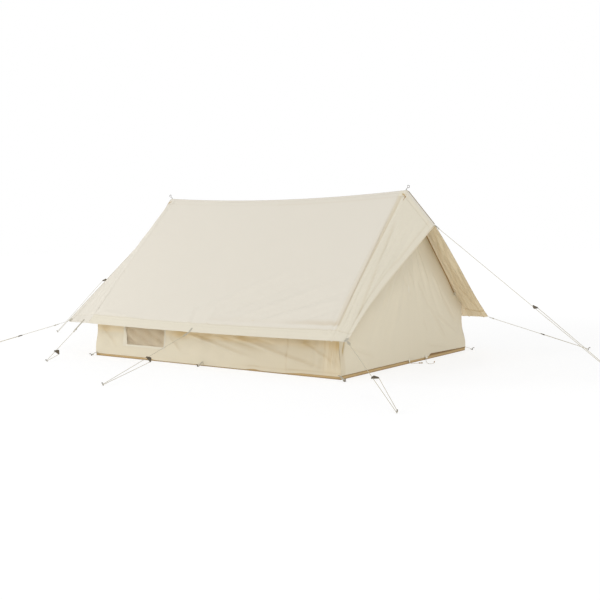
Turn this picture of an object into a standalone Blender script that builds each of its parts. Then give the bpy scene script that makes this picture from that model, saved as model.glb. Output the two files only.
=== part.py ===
"""Cotton ridge tent on two upright poles, pitched with its guy lines, runners and pegs.

Metres, +Z up. The ridge runs along X with the photographed door at +X, the near side is -Y,
and the origin is on the ground under the middle of the ridge.
"""
import math

import bmesh
import bpy
from mathutils import Matrix, Vector

# Cloth, seams and running clearances
CLOTH = 0.002
SEAM_GAP = 0.0006
FOLD_GAP = 0.0016
TOUCH = 0.0003

# Groundsheet and the roof's ridge, which the rest is fitted to
BASE_HALF_LENGTH = 1.400
BASE_HALF_WIDTH = 1.050
RIDGE_HEIGHT = 1.486

# Roof: ridge line, eaves and the slack in the canvas
RIDGE_SAG = 0.047
RIDGE_END = BASE_HALF_LENGTH - 0.013
RIDGE_SLOT = 0.005
EAVE_REACH = BASE_HALF_WIDTH + 0.106
EAVE_HEIGHT = 0.321
EAVE_SAG = 0.018
ROOF_SAG = 0.016
ROOF_SAG_END = 0.004
SEAM_AT_RIDGE = RIDGE_END - 0.062
SEAM_AT_EAVE = RIDGE_END - 0.008

# Hoods: the roof's sloping ends, past the poles
HOOD_PEAK = BASE_HALF_LENGTH + 0.251
HOOD_PEAK_HEIGHT = RIDGE_HEIGHT - 0.298
HOOD_CORNER_NEAR = BASE_HALF_LENGTH + 0.137
HOOD_CORNER_FAR = BASE_HALF_LENGTH + 0.185
HOOD_CORNER_REAR = BASE_HALF_LENGTH + 0.264
HOOD_FOLD = 0.008
TAPE_HALF = 0.018
TAPE_THICK = 0.0012
TAPE_LIFT = 0.001

# Each hood's free edge, by end and side: its corner, how deep it is cut back, how early, its rise
HOOD_EDGES = {
    (1, -1): (HOOD_CORNER_NEAR, 0.040, 1.5, 0.000),
    (1, 1): (HOOD_CORNER_FAR, 0.019, 2.0, 0.018),
    (-1, -1): (HOOD_CORNER_REAR, 0.006, 1.0, 0.000),
    (-1, 1): (HOOD_CORNER_REAR, 0.006, 1.0, 0.000),
}

# Walls and groundsheet
WALL_TOP_SET_BACK = {1: 0.028, -1: 0.012}
WALL_TOP_HALF_WIDTH = BASE_HALF_WIDTH - 0.020
WALL_SPLAY_FROM = 0.070
WALL_SPLAY_TO = 0.250
WALL_LEVELS = (WALL_SPLAY_FROM, 0.115, 0.160, 0.205, WALL_SPLAY_TO)
WALL_HEM = 0.022
WALL_HEM_DROP = 0.014
WALL_HEM_LIFT = 0.010
WALL_HEM_LIFT_X = 0.525
WALL_FOLD = 0.006
UNDER_ROOF = 0.0045
UPSTAND = 0.060
SHEET_THICK = 0.002

# Side windows
WINDOW_FROM = -1.020
WINDOW_TO = -0.510
WINDOW_LOW = 0.128
WINDOW_HIGH = 0.362
WINDOW_NET = 0.001
FLAP_OVERLAP = 0.020
FLAP_THICK = 0.0015

# Gable ends and their door leaves
FOLD_TOP = RIDGE_HEIGHT - 0.236
FOLD_OUT = BASE_HALF_WIDTH - 0.100
LEAF_TOP_WIDTH = 0.012
LEAF_HEM_NEAR = 0.030
LEAF_HEM_FAR = 0.046
LEAF_HEM_CORNER = 0.032
LEAF_LOBE_TO = 0.330
LEAF_LOBE_END = 0.380
LEAF_FOLD = 0.010
LEAF_GAP = 0.0005
GABLE_SET_BACK = ((0.0, 0.007), (0.2, 0.028), (0.4, 0.041), (0.6, 0.038), (0.76, 0.043),
                  (0.86, 0.049), (0.94, 0.042))

# Zip, on the inner side of the near leaf of each door
ZIP_LOW = 0.095
ZIP_HIGH = FOLD_TOP - 0.070
ZIP_TAPE_WIDTH = 0.012
ZIP_TAPE_THICK = 0.001
ZIP_COIL = 0.0018
ZIP_SLIDER_WALL = 0.0012
ZIP_SLIDER_LENGTH = 0.014
ZIP_PULL_LENGTH = 0.030
ZIP_PULL_THICK = 0.0012

# Poles
POLE_X = RIDGE_END - 0.012
POLE_RADIUS = 0.0125
POLE_WALL = 0.0012
POLE_JOINT = 0.760
POLE_SPIGOT = 0.080
POLE_TOP = RIDGE_HEIGHT - 0.0215
SPIKE_RADIUS = 0.003
SPIKE_TOP = RIDGE_HEIGHT + 0.008
SPIKE_PLUG = 0.0035
EYE_RADIUS = 0.011
EYE_WIRE = 0.0022
EYE_LEAN = 0.030
FOOT_RADIUS = POLE_RADIUS + 0.0035
FOOT_HEIGHT = 0.030
FOOT_SOLE = 0.004

# Guy lines, rings, webbing, runners and pegs
CORD_RADIUS = 0.002
KNOT_RADIUS = 0.0042
RING_SIDE = 0.004
WEBBING_WIDTH = 0.018
WEBBING_SEAM = 0.0012
WEBBING_THICK = 0.0012
WEBBING_TAIL = 0.012
PEG_RADIUS = 0.003
PEG_BELOW = 0.012
PEG_LOOP_HEIGHT = 0.010
PEG_ABOVE_LOOP = 0.010
PEG_BEND = 0.007
PEG_TIP = 0.006
RUNNER_BASE = 0.070
RUNNER_HEIGHT = 0.040
RUNNER_THICK = 0.008
RUNNER_ROUND = 0.005
RUNNER_HOLE = 0.0027
RUNNER_HOLE_IN = 0.018
RUNNER_LEG_GAP = 0.043
WEBBING_TURN = CORD_RADIUS + TOUCH + WEBBING_THICK / 2
RING_HALF = WEBBING_WIDTH / 2 + CORD_RADIUS + SEAM_GAP

MID_GUY_X = -0.090
SECOND_GUY_X = -BASE_HALF_LENGTH - 0.067

# Each guy point: name, the cloth it is sewn to, its point on the canopy, how far out its peg
# stands and the length of its webbing
GUY_POINTS = (
    ("near_front", "front_hood_near", (HOOD_CORNER_NEAR, -EAVE_REACH), (0.906, -0.799), 0.035),
    ("near_middle", "roof_panel_near", (MID_GUY_X, -EAVE_REACH), (0.106, -1.077), 0.060),
    ("near_second", "rear_hood_near", (SECOND_GUY_X, -EAVE_REACH), (0.021, -0.430), 0.100),
    ("near_rear", "rear_hood_near", (-HOOD_CORNER_REAR, -EAVE_REACH), (-0.776, -0.799), 0.100),
    ("far_front", "front_hood_far", (HOOD_CORNER_FAR, EAVE_REACH), (0.788, 0.486), 0.025),
    ("far_middle", "roof_panel_far", (MID_GUY_X, EAVE_REACH), (0.106, 1.077), 0.060),
    ("far_second", "rear_hood_far", (SECOND_GUY_X, EAVE_REACH), (0.021, 0.430), 0.100),
    ("far_rear", "rear_hood_far", (-HOOD_CORNER_REAR, EAVE_REACH), (-0.776, 0.799), 0.100),
    ("front_ridge", "ridge_tape", (HOOD_PEAK, 0.0), (1.689, -0.200), 0.022),
    ("rear_ridge", "ridge_tape", (-HOOD_PEAK, 0.0), (-1.689, 0.088), 0.022),
)

# Each pitched line: the runner's share of the line, and its turn about it in degrees
PITCHED = {
    "near_front": (0.545, 0),
    "near_middle": (0.485, -50),
    "near_second": (0.710, -40),
    "near_rear": (0.345, 0),
    "far_front": (0.545, 0),
    "front_ridge": (0.545, 0),
    "rear_ridge": (0.467, 0),
}

# Ground loops on the wall's hem: their height, and how far their pegs stand off the base
LOOP_HEIGHT = 0.036
LOOP_MIDDLE_X = -0.040
MIDDLE_PEG_OUT = 0.060
CORNER_PEG_OUT = {
    ("near", "front"): (0.078, 0.062),
    ("near", "rear"): (0.005, 0.048),
    ("far", "front"): (0.050, 0.040),
    ("far", "rear"): (0.030, 0.050),
}

# Door ties: hand-laid routes from the leaf's hem to the toggle: the distance in front of the
# door, the place across it and the height
TIE_RADIUS = 0.0015
TOGGLE_RADIUS = 0.005
TOGGLE_WAIST = 0.0030
TOGGLE_LENGTH = 0.036
TIE_NEAR = ((0.0018, -0.009, 0.0330), (0.0060, -0.008, 0.0120), (0.0240, -0.001, 0.0019),
            (0.0400, 0.014, 0.0018), (0.0560, 0.030, 0.0019), (0.0680, 0.040, 0.0053))
TIE_FAR = ((0.0018, 0.285, 0.0330), (0.0080, 0.275, 0.0110), (0.0380, 0.225, 0.0018),
           (0.0780, 0.160, 0.0018), (0.1200, 0.100, 0.0018), (0.1500, 0.072, 0.0018),
           (0.1740, 0.078, 0.0018), (0.1760, 0.108, 0.0018), (0.1640, 0.138, 0.0019),
           (0.1560, 0.156, 0.0053))

# Colour, roughness and metallic value of each material
CANVAS = ((0.80, 0.75, 0.66), 0.90, 0.0)
CANVAS_WARM = ((0.76, 0.71, 0.58), 0.90, 0.0)
SHEET = ((0.42, 0.31, 0.19), 0.70, 0.0)
NET = ((0.55, 0.46, 0.32), 0.80, 0.0)
WEBBING = ((0.36, 0.34, 0.29), 0.85, 0.0)
CORD = ((0.72, 0.69, 0.60), 0.85, 0.0)
STEEL = ((0.55, 0.55, 0.54), 0.35, 1.0)
ALLOY = ((0.30, 0.28, 0.25), 0.40, 1.0)
RUBBER = ((0.05, 0.05, 0.05), 0.80, 0.0)
PLASTIC = ((0.30, 0.27, 0.22), 0.60, 0.0)
WOOD = ((0.50, 0.38, 0.26), 0.60, 0.0)

SIDES = (("near", -1), ("far", 1))
ENDS = (("front", 1), ("rear", -1))


def clear_scene():
    """Remove what the new file holds."""
    for thing in list(bpy.data.objects):
        bpy.data.objects.remove(thing, do_unlink=True)


def collection(name):
    group = bpy.data.collections.new(name)
    bpy.context.scene.collection.children.link(group)
    return group


clear_scene()
PARTS = collection("family_tent")
GUIDES = collection("cutters")


# Plain helpers
def lerp(a, b, share):
    return a + (b - a) * share


def smooth(low, high, value):
    share = min(1.0, max(0.0, (value - low) / (high - low)))
    return share * share * (3.0 - 2.0 * share)


def shares(count):
    return [step / count for step in range(count + 1)]


def material(name, look):
    colour, roughness, metallic = look
    made = bpy.data.materials.new(name)
    made.use_nodes = True
    shader = made.node_tree.nodes["Principled BSDF"]
    shader.inputs["Base Color"].default_value = (*colour, 1.0)
    shader.inputs["Roughness"].default_value = roughness
    shader.inputs["Metallic"].default_value = metallic
    return made


def add_object(name, data, look=None, home=None):
    made = bpy.data.objects.new(name, data)
    (home or PARTS).objects.link(made)
    if look:
        data.materials.append(material(name, look))
    return made


def mesh_from(bm, name):
    data = bpy.data.meshes.new(name)
    bm.to_mesh(data)
    bm.free()
    return data


def set_origin(thing, origin):
    """Move an object's origin and leave its mesh where it is."""
    origin = Vector(origin)
    thing.data.transform(Matrix.Translation(-origin))
    thing.location = origin


def baked(thing):
    """The evaluated mesh of an object, in world space, with its loose caps welded."""
    graph = bpy.context.evaluated_depsgraph_get()
    graph.update()
    data = bpy.data.meshes.new_from_object(thing.evaluated_get(graph))
    data.transform(thing.matrix_world)
    bm = bmesh.new()
    bm.from_mesh(data)
    bmesh.ops.remove_doubles(bm, verts=bm.verts, dist=0.00001)
    bm.to_mesh(data)
    bm.free()
    return data


def as_mesh(thing):
    """Replace a curve by a mesh of the same shape."""
    name = thing.name
    place = thing.matrix_world.copy()
    look = thing.data.materials[:]
    data = baked(thing)
    home = thing.users_collection[0]
    bpy.data.objects.remove(thing, do_unlink=True)
    data.transform(place.inverted())
    data.materials.clear()
    for used in look:
        data.materials.append(used)
    made = add_object(name, data, home=home)
    made.matrix_world = place
    return made


def combine(thing, tool, operation):
    tool.hide_render = True
    tool.display_type = "WIRE"
    step = thing.modifiers.new(operation.lower(), "BOOLEAN")
    step.operation = operation
    step.solver = "EXACT"
    step.object = tool


def cut(thing, cutter):
    combine(thing, cutter, "DIFFERENCE")


def join(thing, addition):
    """Make a sewn, knotted or welded piece part of its neighbour's solid."""
    combine(thing, addition, "UNION")


def box(name, low, high, look=None, home=None):
    bm = bmesh.new()
    bmesh.ops.create_cube(bm, size=1.0)
    for vert in bm.verts:
        vert.co = Vector(lerp(low[k], high[k], vert.co[k] + 0.5) for k in range(3))
    return add_object(name, mesh_from(bm, name), look, home)


def rod(name, start, end, radius, sides=16, look=None, home=None):
    """A straight solid cylinder between two points."""
    start, end = Vector(start), Vector(end)
    bm = bmesh.new()
    length = (end - start).length
    bmesh.ops.create_cone(bm, cap_ends=True, segments=sides, radius1=radius, radius2=radius, depth=length)
    turn = (end - start).to_track_quat("Z", "Y").to_matrix().to_4x4()
    bmesh.ops.transform(bm, matrix=Matrix.Translation((start + end) / 2) @ turn, verts=bm.verts)
    return add_object(name, mesh_from(bm, name), look, home)


def wire(name, points, radius, look=None, resolution=2, closed=False, home=None):
    """A round bar, cord or ring along a list of points."""
    curve = bpy.data.curves.new(name, "CURVE")
    curve.dimensions = "3D"
    curve.bevel_depth = radius
    curve.bevel_resolution = resolution
    curve.use_fill_caps = True
    spline = curve.splines.new("POLY")
    spline.points.add(len(points) - 1)
    for slot, point in zip(spline.points, points):
        slot.co = (*point, 1.0)
    spline.use_cyclic_u = closed
    return add_object(name, curve, look, home)


def turned(name, profile, centre, look=None, steps=16, home=None):
    """A shape turned about Z from a closed profile of radius and height pairs."""
    area = sum(a[0] * b[1] - b[0] * a[1] for a, b in zip(profile, profile[1:] + profile[:1]))
    order = profile if area < 0 else profile[::-1]
    bm = bmesh.new()
    verts = [bm.verts.new((radius, 0.0, height)) for radius, height in order]
    for first, second in zip(verts, verts[1:] + verts[:1]):
        if first.co.x + second.co.x > 1e-9:
            bm.edges.new((first, second))
    made = add_object(name, mesh_from(bm, name), look, home)
    made.location = centre
    spin = made.modifiers.new("turn", "SCREW")
    spin.steps = steps
    spin.render_steps = steps
    spin.use_merge_vertices = True
    spin.merge_threshold = 0.00001
    spin.use_smooth_shade = False
    return made


def cloth(name, rows, outward, look=None, thickness=CLOTH, offset=-1.0, home=None):
    """A sheet through rows of points, thickened away from the side it faces."""
    bm = bmesh.new()
    deep, wide = len(rows), len(rows[0])
    bmesh.ops.create_grid(bm, x_segments=deep - 1, y_segments=wide - 1, size=0.5)
    for vert in bm.verts:
        row = round((vert.co.x + 0.5) * (deep - 1))
        column = round((vert.co.y + 0.5) * (wide - 1))
        vert.co = rows[row][column]
    bm.normal_update()
    facing = sum((face.normal * face.calc_area() for face in bm.faces), Vector())
    if facing.dot(Vector(outward)) < 0:
        bmesh.ops.reverse_faces(bm, faces=bm.faces)
    made = add_object(name, mesh_from(bm, name), look, home)
    made.data.shade_smooth()
    shell = made.modifiers.new("thickness", "SOLIDIFY")
    shell.thickness = thickness
    shell.offset = offset
    shell.use_even_offset = True
    return made


# The canopy's surface
def ridge_height(x):
    return RIDGE_HEIGHT - RIDGE_SAG * max(0.0, 1.0 - (x / RIDGE_END) ** 2)


def eave_height(x):
    return EAVE_HEIGHT - EAVE_SAG * max(0.0, 1.0 - (x / HOOD_CORNER_FAR) ** 2)


def roof_height(x, y):
    """The main roof's outer face, also past the poles."""
    part = abs(y) / EAVE_REACH
    slack = max(0.0, 1.0 - (x / RIDGE_END) ** 2)
    sag = (ROOF_SAG * slack + ROOF_SAG_END) * math.sin(math.pi * part)
    return lerp(ridge_height(x), eave_height(x), part) - sag


def hood_edge(x, y):
    """The free edge of a hood beside a point: how far out and how high it is there."""
    corner, cut_back, early, rise = HOOD_EDGES[1 if x > 0 else -1, 1 if y > 0 else -1]
    part = abs(y) / EAVE_REACH
    out = lerp(HOOD_PEAK, corner, part) - cut_back * math.sin(math.pi * part ** early)
    return out, lerp(HOOD_PEAK_HEIGHT, EAVE_HEIGHT, part) + rise * math.sin(math.pi * part)


def canopy_height(x, y):
    """The outer face of roof and hoods at any point of the plan."""
    part = abs(y) / EAVE_REACH
    out, low = hood_edge(x, y)
    share = min(1.0, max(0.0, (abs(x) - RIDGE_END) / (out - RIDGE_END)))
    fold = HOOD_FOLD * math.sin(math.pi * share) * math.sin(4.0 * math.pi * part) * smooth(0.0, 0.25, part)
    return roof_height(x, y) + (low - roof_height(out, y)) * share + fold


def canopy(x, y):
    return Vector((x, y, canopy_height(x, y)))


def seam_x(part):
    """Where the main roof panel meets a hood."""
    return lerp(SEAM_AT_RIDGE, SEAM_AT_EAVE, part)


def slope_rows():
    """Distances from the ridge at which a roof panel bends."""
    return [RIDGE_SLOT, TAPE_HALF] + [EAVE_REACH * share for share in shares(8)[1:]]


def hood_stations(y, end):
    out, _ = hood_edge(end, y)
    return [lerp(RIDGE_END, out, share) for share in shares(5)]


def roof_panel(name, side):
    rows = []
    for y in slope_rows():
        reach = seam_x(y / EAVE_REACH) - SEAM_GAP / 2
        rows.append([canopy(lerp(-reach, reach, share), side * y) for share in shares(16)])
    return cloth(name, rows, (0, side, 1), CANVAS)


def hood_panel(name, end, side):
    rows = []
    for y in slope_rows():
        stations = [seam_x(y / EAVE_REACH) + SEAM_GAP / 2] + hood_stations(side * y, end)
        rows.append([canopy(end * x, side * y) for x in stations])
    return cloth(name, rows, (end, side, 1), CANVAS_WARM)


def ridge_tape():
    """Webbing along the ridge and down both hoods, pierced for the pole spikes."""
    ridge = [lerp(-RIDGE_END, RIDGE_END, share) for share in shares(16)]
    lift = Vector((0, 0, TAPE_LIFT))
    columns = []
    for y in (-TAPE_HALF, 0.0, TAPE_HALF):
        rear = [-x for x in reversed(hood_stations(y, -1)[1:])]
        columns.append([canopy(x, y) + lift for x in rear + ridge + hood_stations(y, 1)[1:]])
    rows = list(zip(*columns))
    tape = cloth("ridge_tape", rows, (0, 0, 1), WEBBING, TAPE_THICK, 1.0)
    for word, end in ENDS:
        top = Vector((end * POLE_X, 0, RIDGE_HEIGHT))
        reach = Vector((0, 0, 0.02))
        drill = rod(f"cut_spike_{word}", top - reach, top + reach, SPIKE_RADIUS + SEAM_GAP, home=GUIDES)
        cut(tape, drill)


# Walls and groundsheet
def splay(height):
    """One at the ground and nought where the wall hangs straight."""
    return 1.0 - smooth(WALL_SPLAY_FROM, WALL_SPLAY_TO, height)


def wall_y(x, height):
    lean = lerp(WALL_TOP_HALF_WIDTH, BASE_HALF_WIDTH, splay(height))
    hung = smooth(WALL_SPLAY_FROM, WALL_SPLAY_TO, height) * smooth(-0.40, 0.0, x)
    taper = smooth(BASE_HALF_LENGTH, BASE_HALF_LENGTH - 0.15, abs(x))
    return lean + WALL_FOLD * hung * taper * math.sin(2 * math.pi * x / 0.7)


def corner_x(height, end):
    return BASE_HALF_LENGTH - WALL_TOP_SET_BACK[end] * (1.0 - splay(height))


def wall_hem(x):
    """The wall's lower edge: it hangs lower along the middle and is kicked up at one place."""
    middle = smooth(-0.72, -0.60, x) * (1.0 - smooth(0.80, 1.05, x))
    lift = smooth(0.10, 0.0, abs(x - WALL_HEM_LIFT_X))
    return WALL_HEM - WALL_HEM_DROP * middle + WALL_HEM_LIFT * lift


def side_wall(name, side):
    rows = []
    for height in (WALL_HEM,) + WALL_LEVELS:
        rear, front = corner_x(height, -1), corner_x(height, 1)
        row = []
        for x in (lerp(-rear, front, share) for share in shares(16)):
            row.append(Vector((x, side * wall_y(x, height), wall_hem(x) if height == WALL_HEM else height)))
        rows.append(row)
    last = []
    for point in rows[-1]:
        x = point.x
        y = wall_y(x, 1.0)
        last.append(Vector((x, side * y, canopy_height(x, y) - UNDER_ROOF)))
    rows.append(last)
    wall = cloth(name, rows, (0, side, 0), CANVAS_WARM)
    hole = box(f"cut_{name}_window", (WINDOW_FROM, side * BASE_HALF_WIDTH - 0.1, WINDOW_LOW),
               (WINDOW_TO, side * BASE_HALF_WIDTH + 0.1, WINDOW_HIGH), home=GUIDES)
    cut(wall, hole)


def window_net(name, side):
    rows = []
    inset = (CLOTH - WINDOW_NET) / 2
    for share in shares(4):
        height = lerp(WINDOW_LOW + SEAM_GAP, WINDOW_HIGH - SEAM_GAP, share)
        row = []
        for along in shares(3):
            x = lerp(WINDOW_FROM + SEAM_GAP, WINDOW_TO - SEAM_GAP, along)
            row.append(Vector((x, side * (wall_y(x, height) - inset), height)))
        rows.append(row)
    cloth(name, rows, (0, side, 0), NET, WINDOW_NET)


def window_flap(name, side):
    """The canvas flap that hangs inside the net from its upper edge."""
    face = WALL_TOP_HALF_WIDTH - CLOTH - SEAM_GAP
    high = WINDOW_HIGH + FLAP_OVERLAP
    low = WINDOW_LOW - FLAP_OVERLAP / 2
    rows = []
    for share in shares(4):
        height = lerp(high, low, share)
        row = []
        for along in shares(6):
            x = lerp(WINDOW_FROM - FLAP_OVERLAP, WINDOW_TO + FLAP_OVERLAP, along)
            wave = 0.006 * math.sin(math.pi * share / 1.2) * math.sin(math.pi * (2 * along - share))
            row.append(Vector((x, side * (face - abs(wave)), height)))
        rows.append(row)
    flap = cloth(name, rows, (0, side, 0), CANVAS_WARM, FLAP_THICK)
    set_origin(flap, ((WINDOW_FROM + WINDOW_TO) / 2, side * face, high))


def groundsheet():
    reach = BASE_HALF_LENGTH - CLOTH - SEAM_GAP
    wide = BASE_HALF_WIDTH - CLOTH - SEAM_GAP
    tray = box("groundsheet", (-reach, -wide, 0), (reach, wide, UPSTAND), SHEET)
    inner = box("cut_groundsheet", (-reach + SHEET_THICK, -wide + SHEET_THICK, SHEET_THICK),
                (reach - SHEET_THICK, wide - SHEET_THICK, UPSTAND + 0.02), home=GUIDES)
    cut(tray, inner)


# Gable ends
def leaf_hem(y):
    """The hem's height along the door: the far leaf hangs lower near the middle."""
    if y < 0:
        return LEAF_HEM_NEAR
    outer = lerp(LEAF_HEM_FAR, LEAF_HEM_CORNER, (y - LEAF_LOBE_END) / (BASE_HALF_WIDTH - LEAF_LOBE_END))
    return lerp(WALL_HEM, outer, smooth(LEAF_LOBE_TO, LEAF_LOBE_END, y))


def fold_line(side):
    """The two ends of a leaf's hinge line, on the gable's outer face."""
    top = Vector((BASE_HALF_LENGTH, side * LEAF_GAP, FOLD_TOP))
    low = Vector((BASE_HALF_LENGTH, side * FOLD_OUT, leaf_hem(side * FOLD_OUT)))
    return top, low


def at_end(point, end):
    return Vector((end * point[0], point[1], point[2]))


def door_leaf(name, end, side):
    """A triangular leaf between its slanting hinge line and the middle of the door."""
    top, low = fold_line(side)
    start = LEAF_TOP_WIDTH / FOLD_OUT
    first = top.lerp(low, start)
    middle_top = Vector((BASE_HALF_LENGTH, side * LEAF_GAP, first.z))
    columns = []
    for across in shares(6):
        high = first.lerp(middle_top, across)
        foot_y = side * lerp(FOLD_OUT, LEAF_GAP, across)
        foot = Vector((BASE_HALF_LENGTH, foot_y, leaf_hem(foot_y)))
        column = []
        for down in shares(8):
            point = high.lerp(foot, down)
            bulge = math.sin(math.pi * across) * math.sin(math.pi * min(1.0, down * 1.02))
            point.x += LEAF_FOLD * bulge * (0.6 + 0.4 * math.cos(3 * math.pi * across))
            column.append(at_end(point, end))
        columns.append(column)
    leaf = cloth(name, columns, (end, 0, 0), CANVAS_WARM)
    set_origin(leaf, at_end(top, end))


def gable_panel(name, end, side):
    """The fixed cloth between a leaf's hinge line, the roof and the wall's corner."""
    top, low = fold_line(side)
    along = (low - top).normalized()
    away = Vector((0, -along.z * side, along.y * side))
    inner = WALL_TOP_HALF_WIDTH - CLOTH - SEAM_GAP
    outer = []
    for part, back in GABLE_SET_BACK + ((1.0, WALL_TOP_SET_BACK[end]),):
        y = lerp(2 * LEAF_GAP, inner, part)
        x = BASE_HALF_LENGTH - back
        outer.append(Vector((x, side * y, canopy_height(x, y) - UNDER_ROOF)))
    hem = leaf_hem(side * FOLD_OUT)
    for height in WALL_LEVELS[::-1] + (hem,):
        y = wall_y(-BASE_HALF_LENGTH, height) - CLOTH - SEAM_GAP
        outer.append(Vector((corner_x(height, end), side * y, height)))
    columns = []
    for step, edge in enumerate(outer):
        start = top.lerp(low, step / (len(outer) - 1)) + away * FOLD_GAP
        column = []
        for across in shares(3):
            point = start.lerp(edge, across)
            point.x = lerp(start.x, edge.x, across ** 1.4)
            column.append(at_end(point, end))
        columns.append(column)
    cloth(name, columns, (end, 0, 0), CANVAS_WARM)


# Zip
def zip_band(end):
    """Tape and coil sewn behind the near leaf's free edge."""
    leaf = bpy.data.objects[f"{'front' if end > 0 else 'rear'}_door_near"]
    face = BASE_HALF_LENGTH - CLOTH
    sewn = face + CLOTH / 2
    back = face - TOUCH - ZIP_TAPE_THICK
    band = box(f"{leaf.name}_zip_band", sorted_low(end * sewn, end * back, -ZIP_TAPE_WIDTH, ZIP_LOW),
               sorted_high(end * sewn, end * back, -LEAF_GAP * 2, ZIP_HIGH), home=GUIDES)
    centre = end * (back - 0.8 * ZIP_COIL)
    coil = rod(f"{leaf.name}_zip_coil", (centre, zip_y(), ZIP_LOW + TOUCH),
               (centre, zip_y(), ZIP_HIGH - TOUCH), ZIP_COIL, 8, home=GUIDES)
    join(leaf, band)
    join(leaf, coil)


def sorted_low(a, b, y, z):
    return (min(a, b), y, z)


def sorted_high(a, b, y, z):
    return (max(a, b), y, z)


def zip_y():
    return -(2 * LEAF_GAP + ZIP_SLIDER_WALL + TOUCH + ZIP_COIL)


def zip_slider(name, end):
    """A channel round the coil, with its pull hanging on the inner side."""
    low = ZIP_LOW + 0.004
    high = low + ZIP_SLIDER_LENGTH
    inner = ZIP_COIL + TOUCH
    outer = inner + ZIP_SLIDER_WALL
    face = BASE_HALF_LENGTH - CLOTH - TOUCH - ZIP_TAPE_THICK - TOUCH
    back = face - 2 * ZIP_COIL - TOUCH
    deep = back - ZIP_SLIDER_WALL
    shell = box(name, sorted_low(end * face, end * deep, zip_y() - outer, low),
                sorted_high(end * face, end * deep, zip_y() + outer, high), STEEL)
    groove = box(f"cut_{name}", sorted_low(end * (face + 0.01), end * back, zip_y() - inner, low - 0.01),
                 sorted_high(end * (face + 0.01), end * back, zip_y() + inner, high + 0.01), home=GUIDES)
    cut(shell, groove)
    pull_face = deep + ZIP_SLIDER_WALL / 2
    pull = box(f"{name}_pull",
               sorted_low(end * pull_face, end * (pull_face - ZIP_PULL_THICK), zip_y() - inner, low + 0.004),
               sorted_high(end * pull_face, end * (pull_face - ZIP_PULL_THICK), zip_y() + inner,
                           low + 0.004 + ZIP_PULL_LENGTH), home=GUIDES)
    join(shell, pull)
    set_origin(shell, (end * back, zip_y(), low))


# Poles
def pole(word, end):
    centre = Vector((end * POLE_X, 0, 0))
    inner = POLE_RADIUS - POLE_WALL
    low = SHEET_THICK + TOUCH + FOOT_SOLE + TOUCH
    tube = [(inner, low), (POLE_RADIUS, low), (POLE_RADIUS, POLE_JOINT), (inner, POLE_JOINT)]
    turned(f"{word}_pole_lower", tube, centre, ALLOY)
    plug = inner - TOUCH
    step = POLE_JOINT + TOUCH
    upper = [(0, POLE_JOINT - POLE_SPIGOT), (plug, POLE_JOINT - POLE_SPIGOT), (plug, step),
             (POLE_RADIUS, step), (POLE_RADIUS, POLE_TOP), (0, POLE_TOP)]
    pole_spike(turned(f"{word}_pole_upper", upper, centre, ALLOY), end)


def pole_foot(name, end):
    base = SHEET_THICK + TOUCH
    bore = POLE_RADIUS + TOUCH
    profile = [(0, base), (FOOT_RADIUS, base), (FOOT_RADIUS, base + FOOT_HEIGHT),
               (bore, base + FOOT_HEIGHT), (bore, base + FOOT_SOLE), (0, base + FOOT_SOLE)]
    turned(name, profile, (end * POLE_X, 0, 0), RUBBER)


def pole_spike(upper, end):
    """The pin on top of a pole and its wire eye."""
    base = Vector((POLE_X, 0, POLE_TOP - SPIKE_PLUG))
    tip = Vector((POLE_X, 0, SPIKE_TOP))
    pin = rod(f"{upper.name}_pin", at_end(base, end), at_end(tip, end), SPIKE_RADIUS, 12, home=GUIDES)
    foot = tip - Vector((0, 0, SPIKE_PLUG))
    centre = tip + Vector((EYE_LEAN, 0, EYE_LEAN)) * 0.75
    turns = [math.radians(225 + 32 * step) for step in range(11)]
    ring = [centre + EYE_RADIUS * Vector((math.cos(a), 0, math.sin(a))) for a in turns]
    path = [at_end(point, end) for point in [foot, tip] + ring]
    eye = as_mesh(wire(f"{upper.name}_eye", path, EYE_WIRE, resolution=1, home=GUIDES))
    join(upper, pin)
    join(upper, eye)


# Anchors: webbing, rings, guy lines, runners and pegs
class Anchor:
    """The straight line from a point on the canvas to a peg, with its frame of directions."""

    def __init__(self, start, ground, webbing=None):
        self.start = Vector(start)
        ground = Vector((*ground, 0))
        self.aim(ground)
        loop = ground + self.up * PEG_LOOP_HEIGHT
        self.aim(loop)
        self.loop = loop
        reach = RING_SIDE + RING_HALF - CORD_RADIUS - 0.8 * PEG_RADIUS
        self.webbing = webbing or (loop - self.start).length - reach
        self.bar = self.start + self.out * self.webbing - self.up * WEBBING_TURN
        self.knot = self.bar + self.out * (RING_SIDE + RING_HALF)

    def aim(self, target):
        self.out = (target - self.start).normalized()
        self.across = self.out.cross(Vector((0, 0, 1))).normalized()
        self.up = self.across.cross(self.out).normalized()

    def point(self, origin, out, across=0.0, up=0.0):
        return origin + self.out * out + self.across * across + self.up * up


def webbing_tab(cloth_name, anchor, seam=WEBBING_SEAM):
    """Webbing sewn to the cloth's edge, round its ring or cord and back under itself."""
    path = [(-seam, 0.0), (anchor.webbing, 0.0)]
    for step in range(1, 5):
        angle = math.radians(90 - 45 * step)
        path.append((anchor.webbing + WEBBING_TURN * math.cos(angle), WEBBING_TURN * (math.sin(angle) - 1)))
    path.append((anchor.webbing - WEBBING_TAIL, -2 * WEBBING_TURN))
    rows = []
    for out, up in path:
        row = [anchor.point(anchor.start, out, side * WEBBING_WIDTH / 2, up) for side in (-1, 1)]
        rows.append(row)
    tab = cloth(f"{cloth_name}_tab", rows, anchor.up, None, WEBBING_THICK, 0.0, GUIDES)
    join(bpy.data.objects[cloth_name], tab)
    return tab


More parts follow.
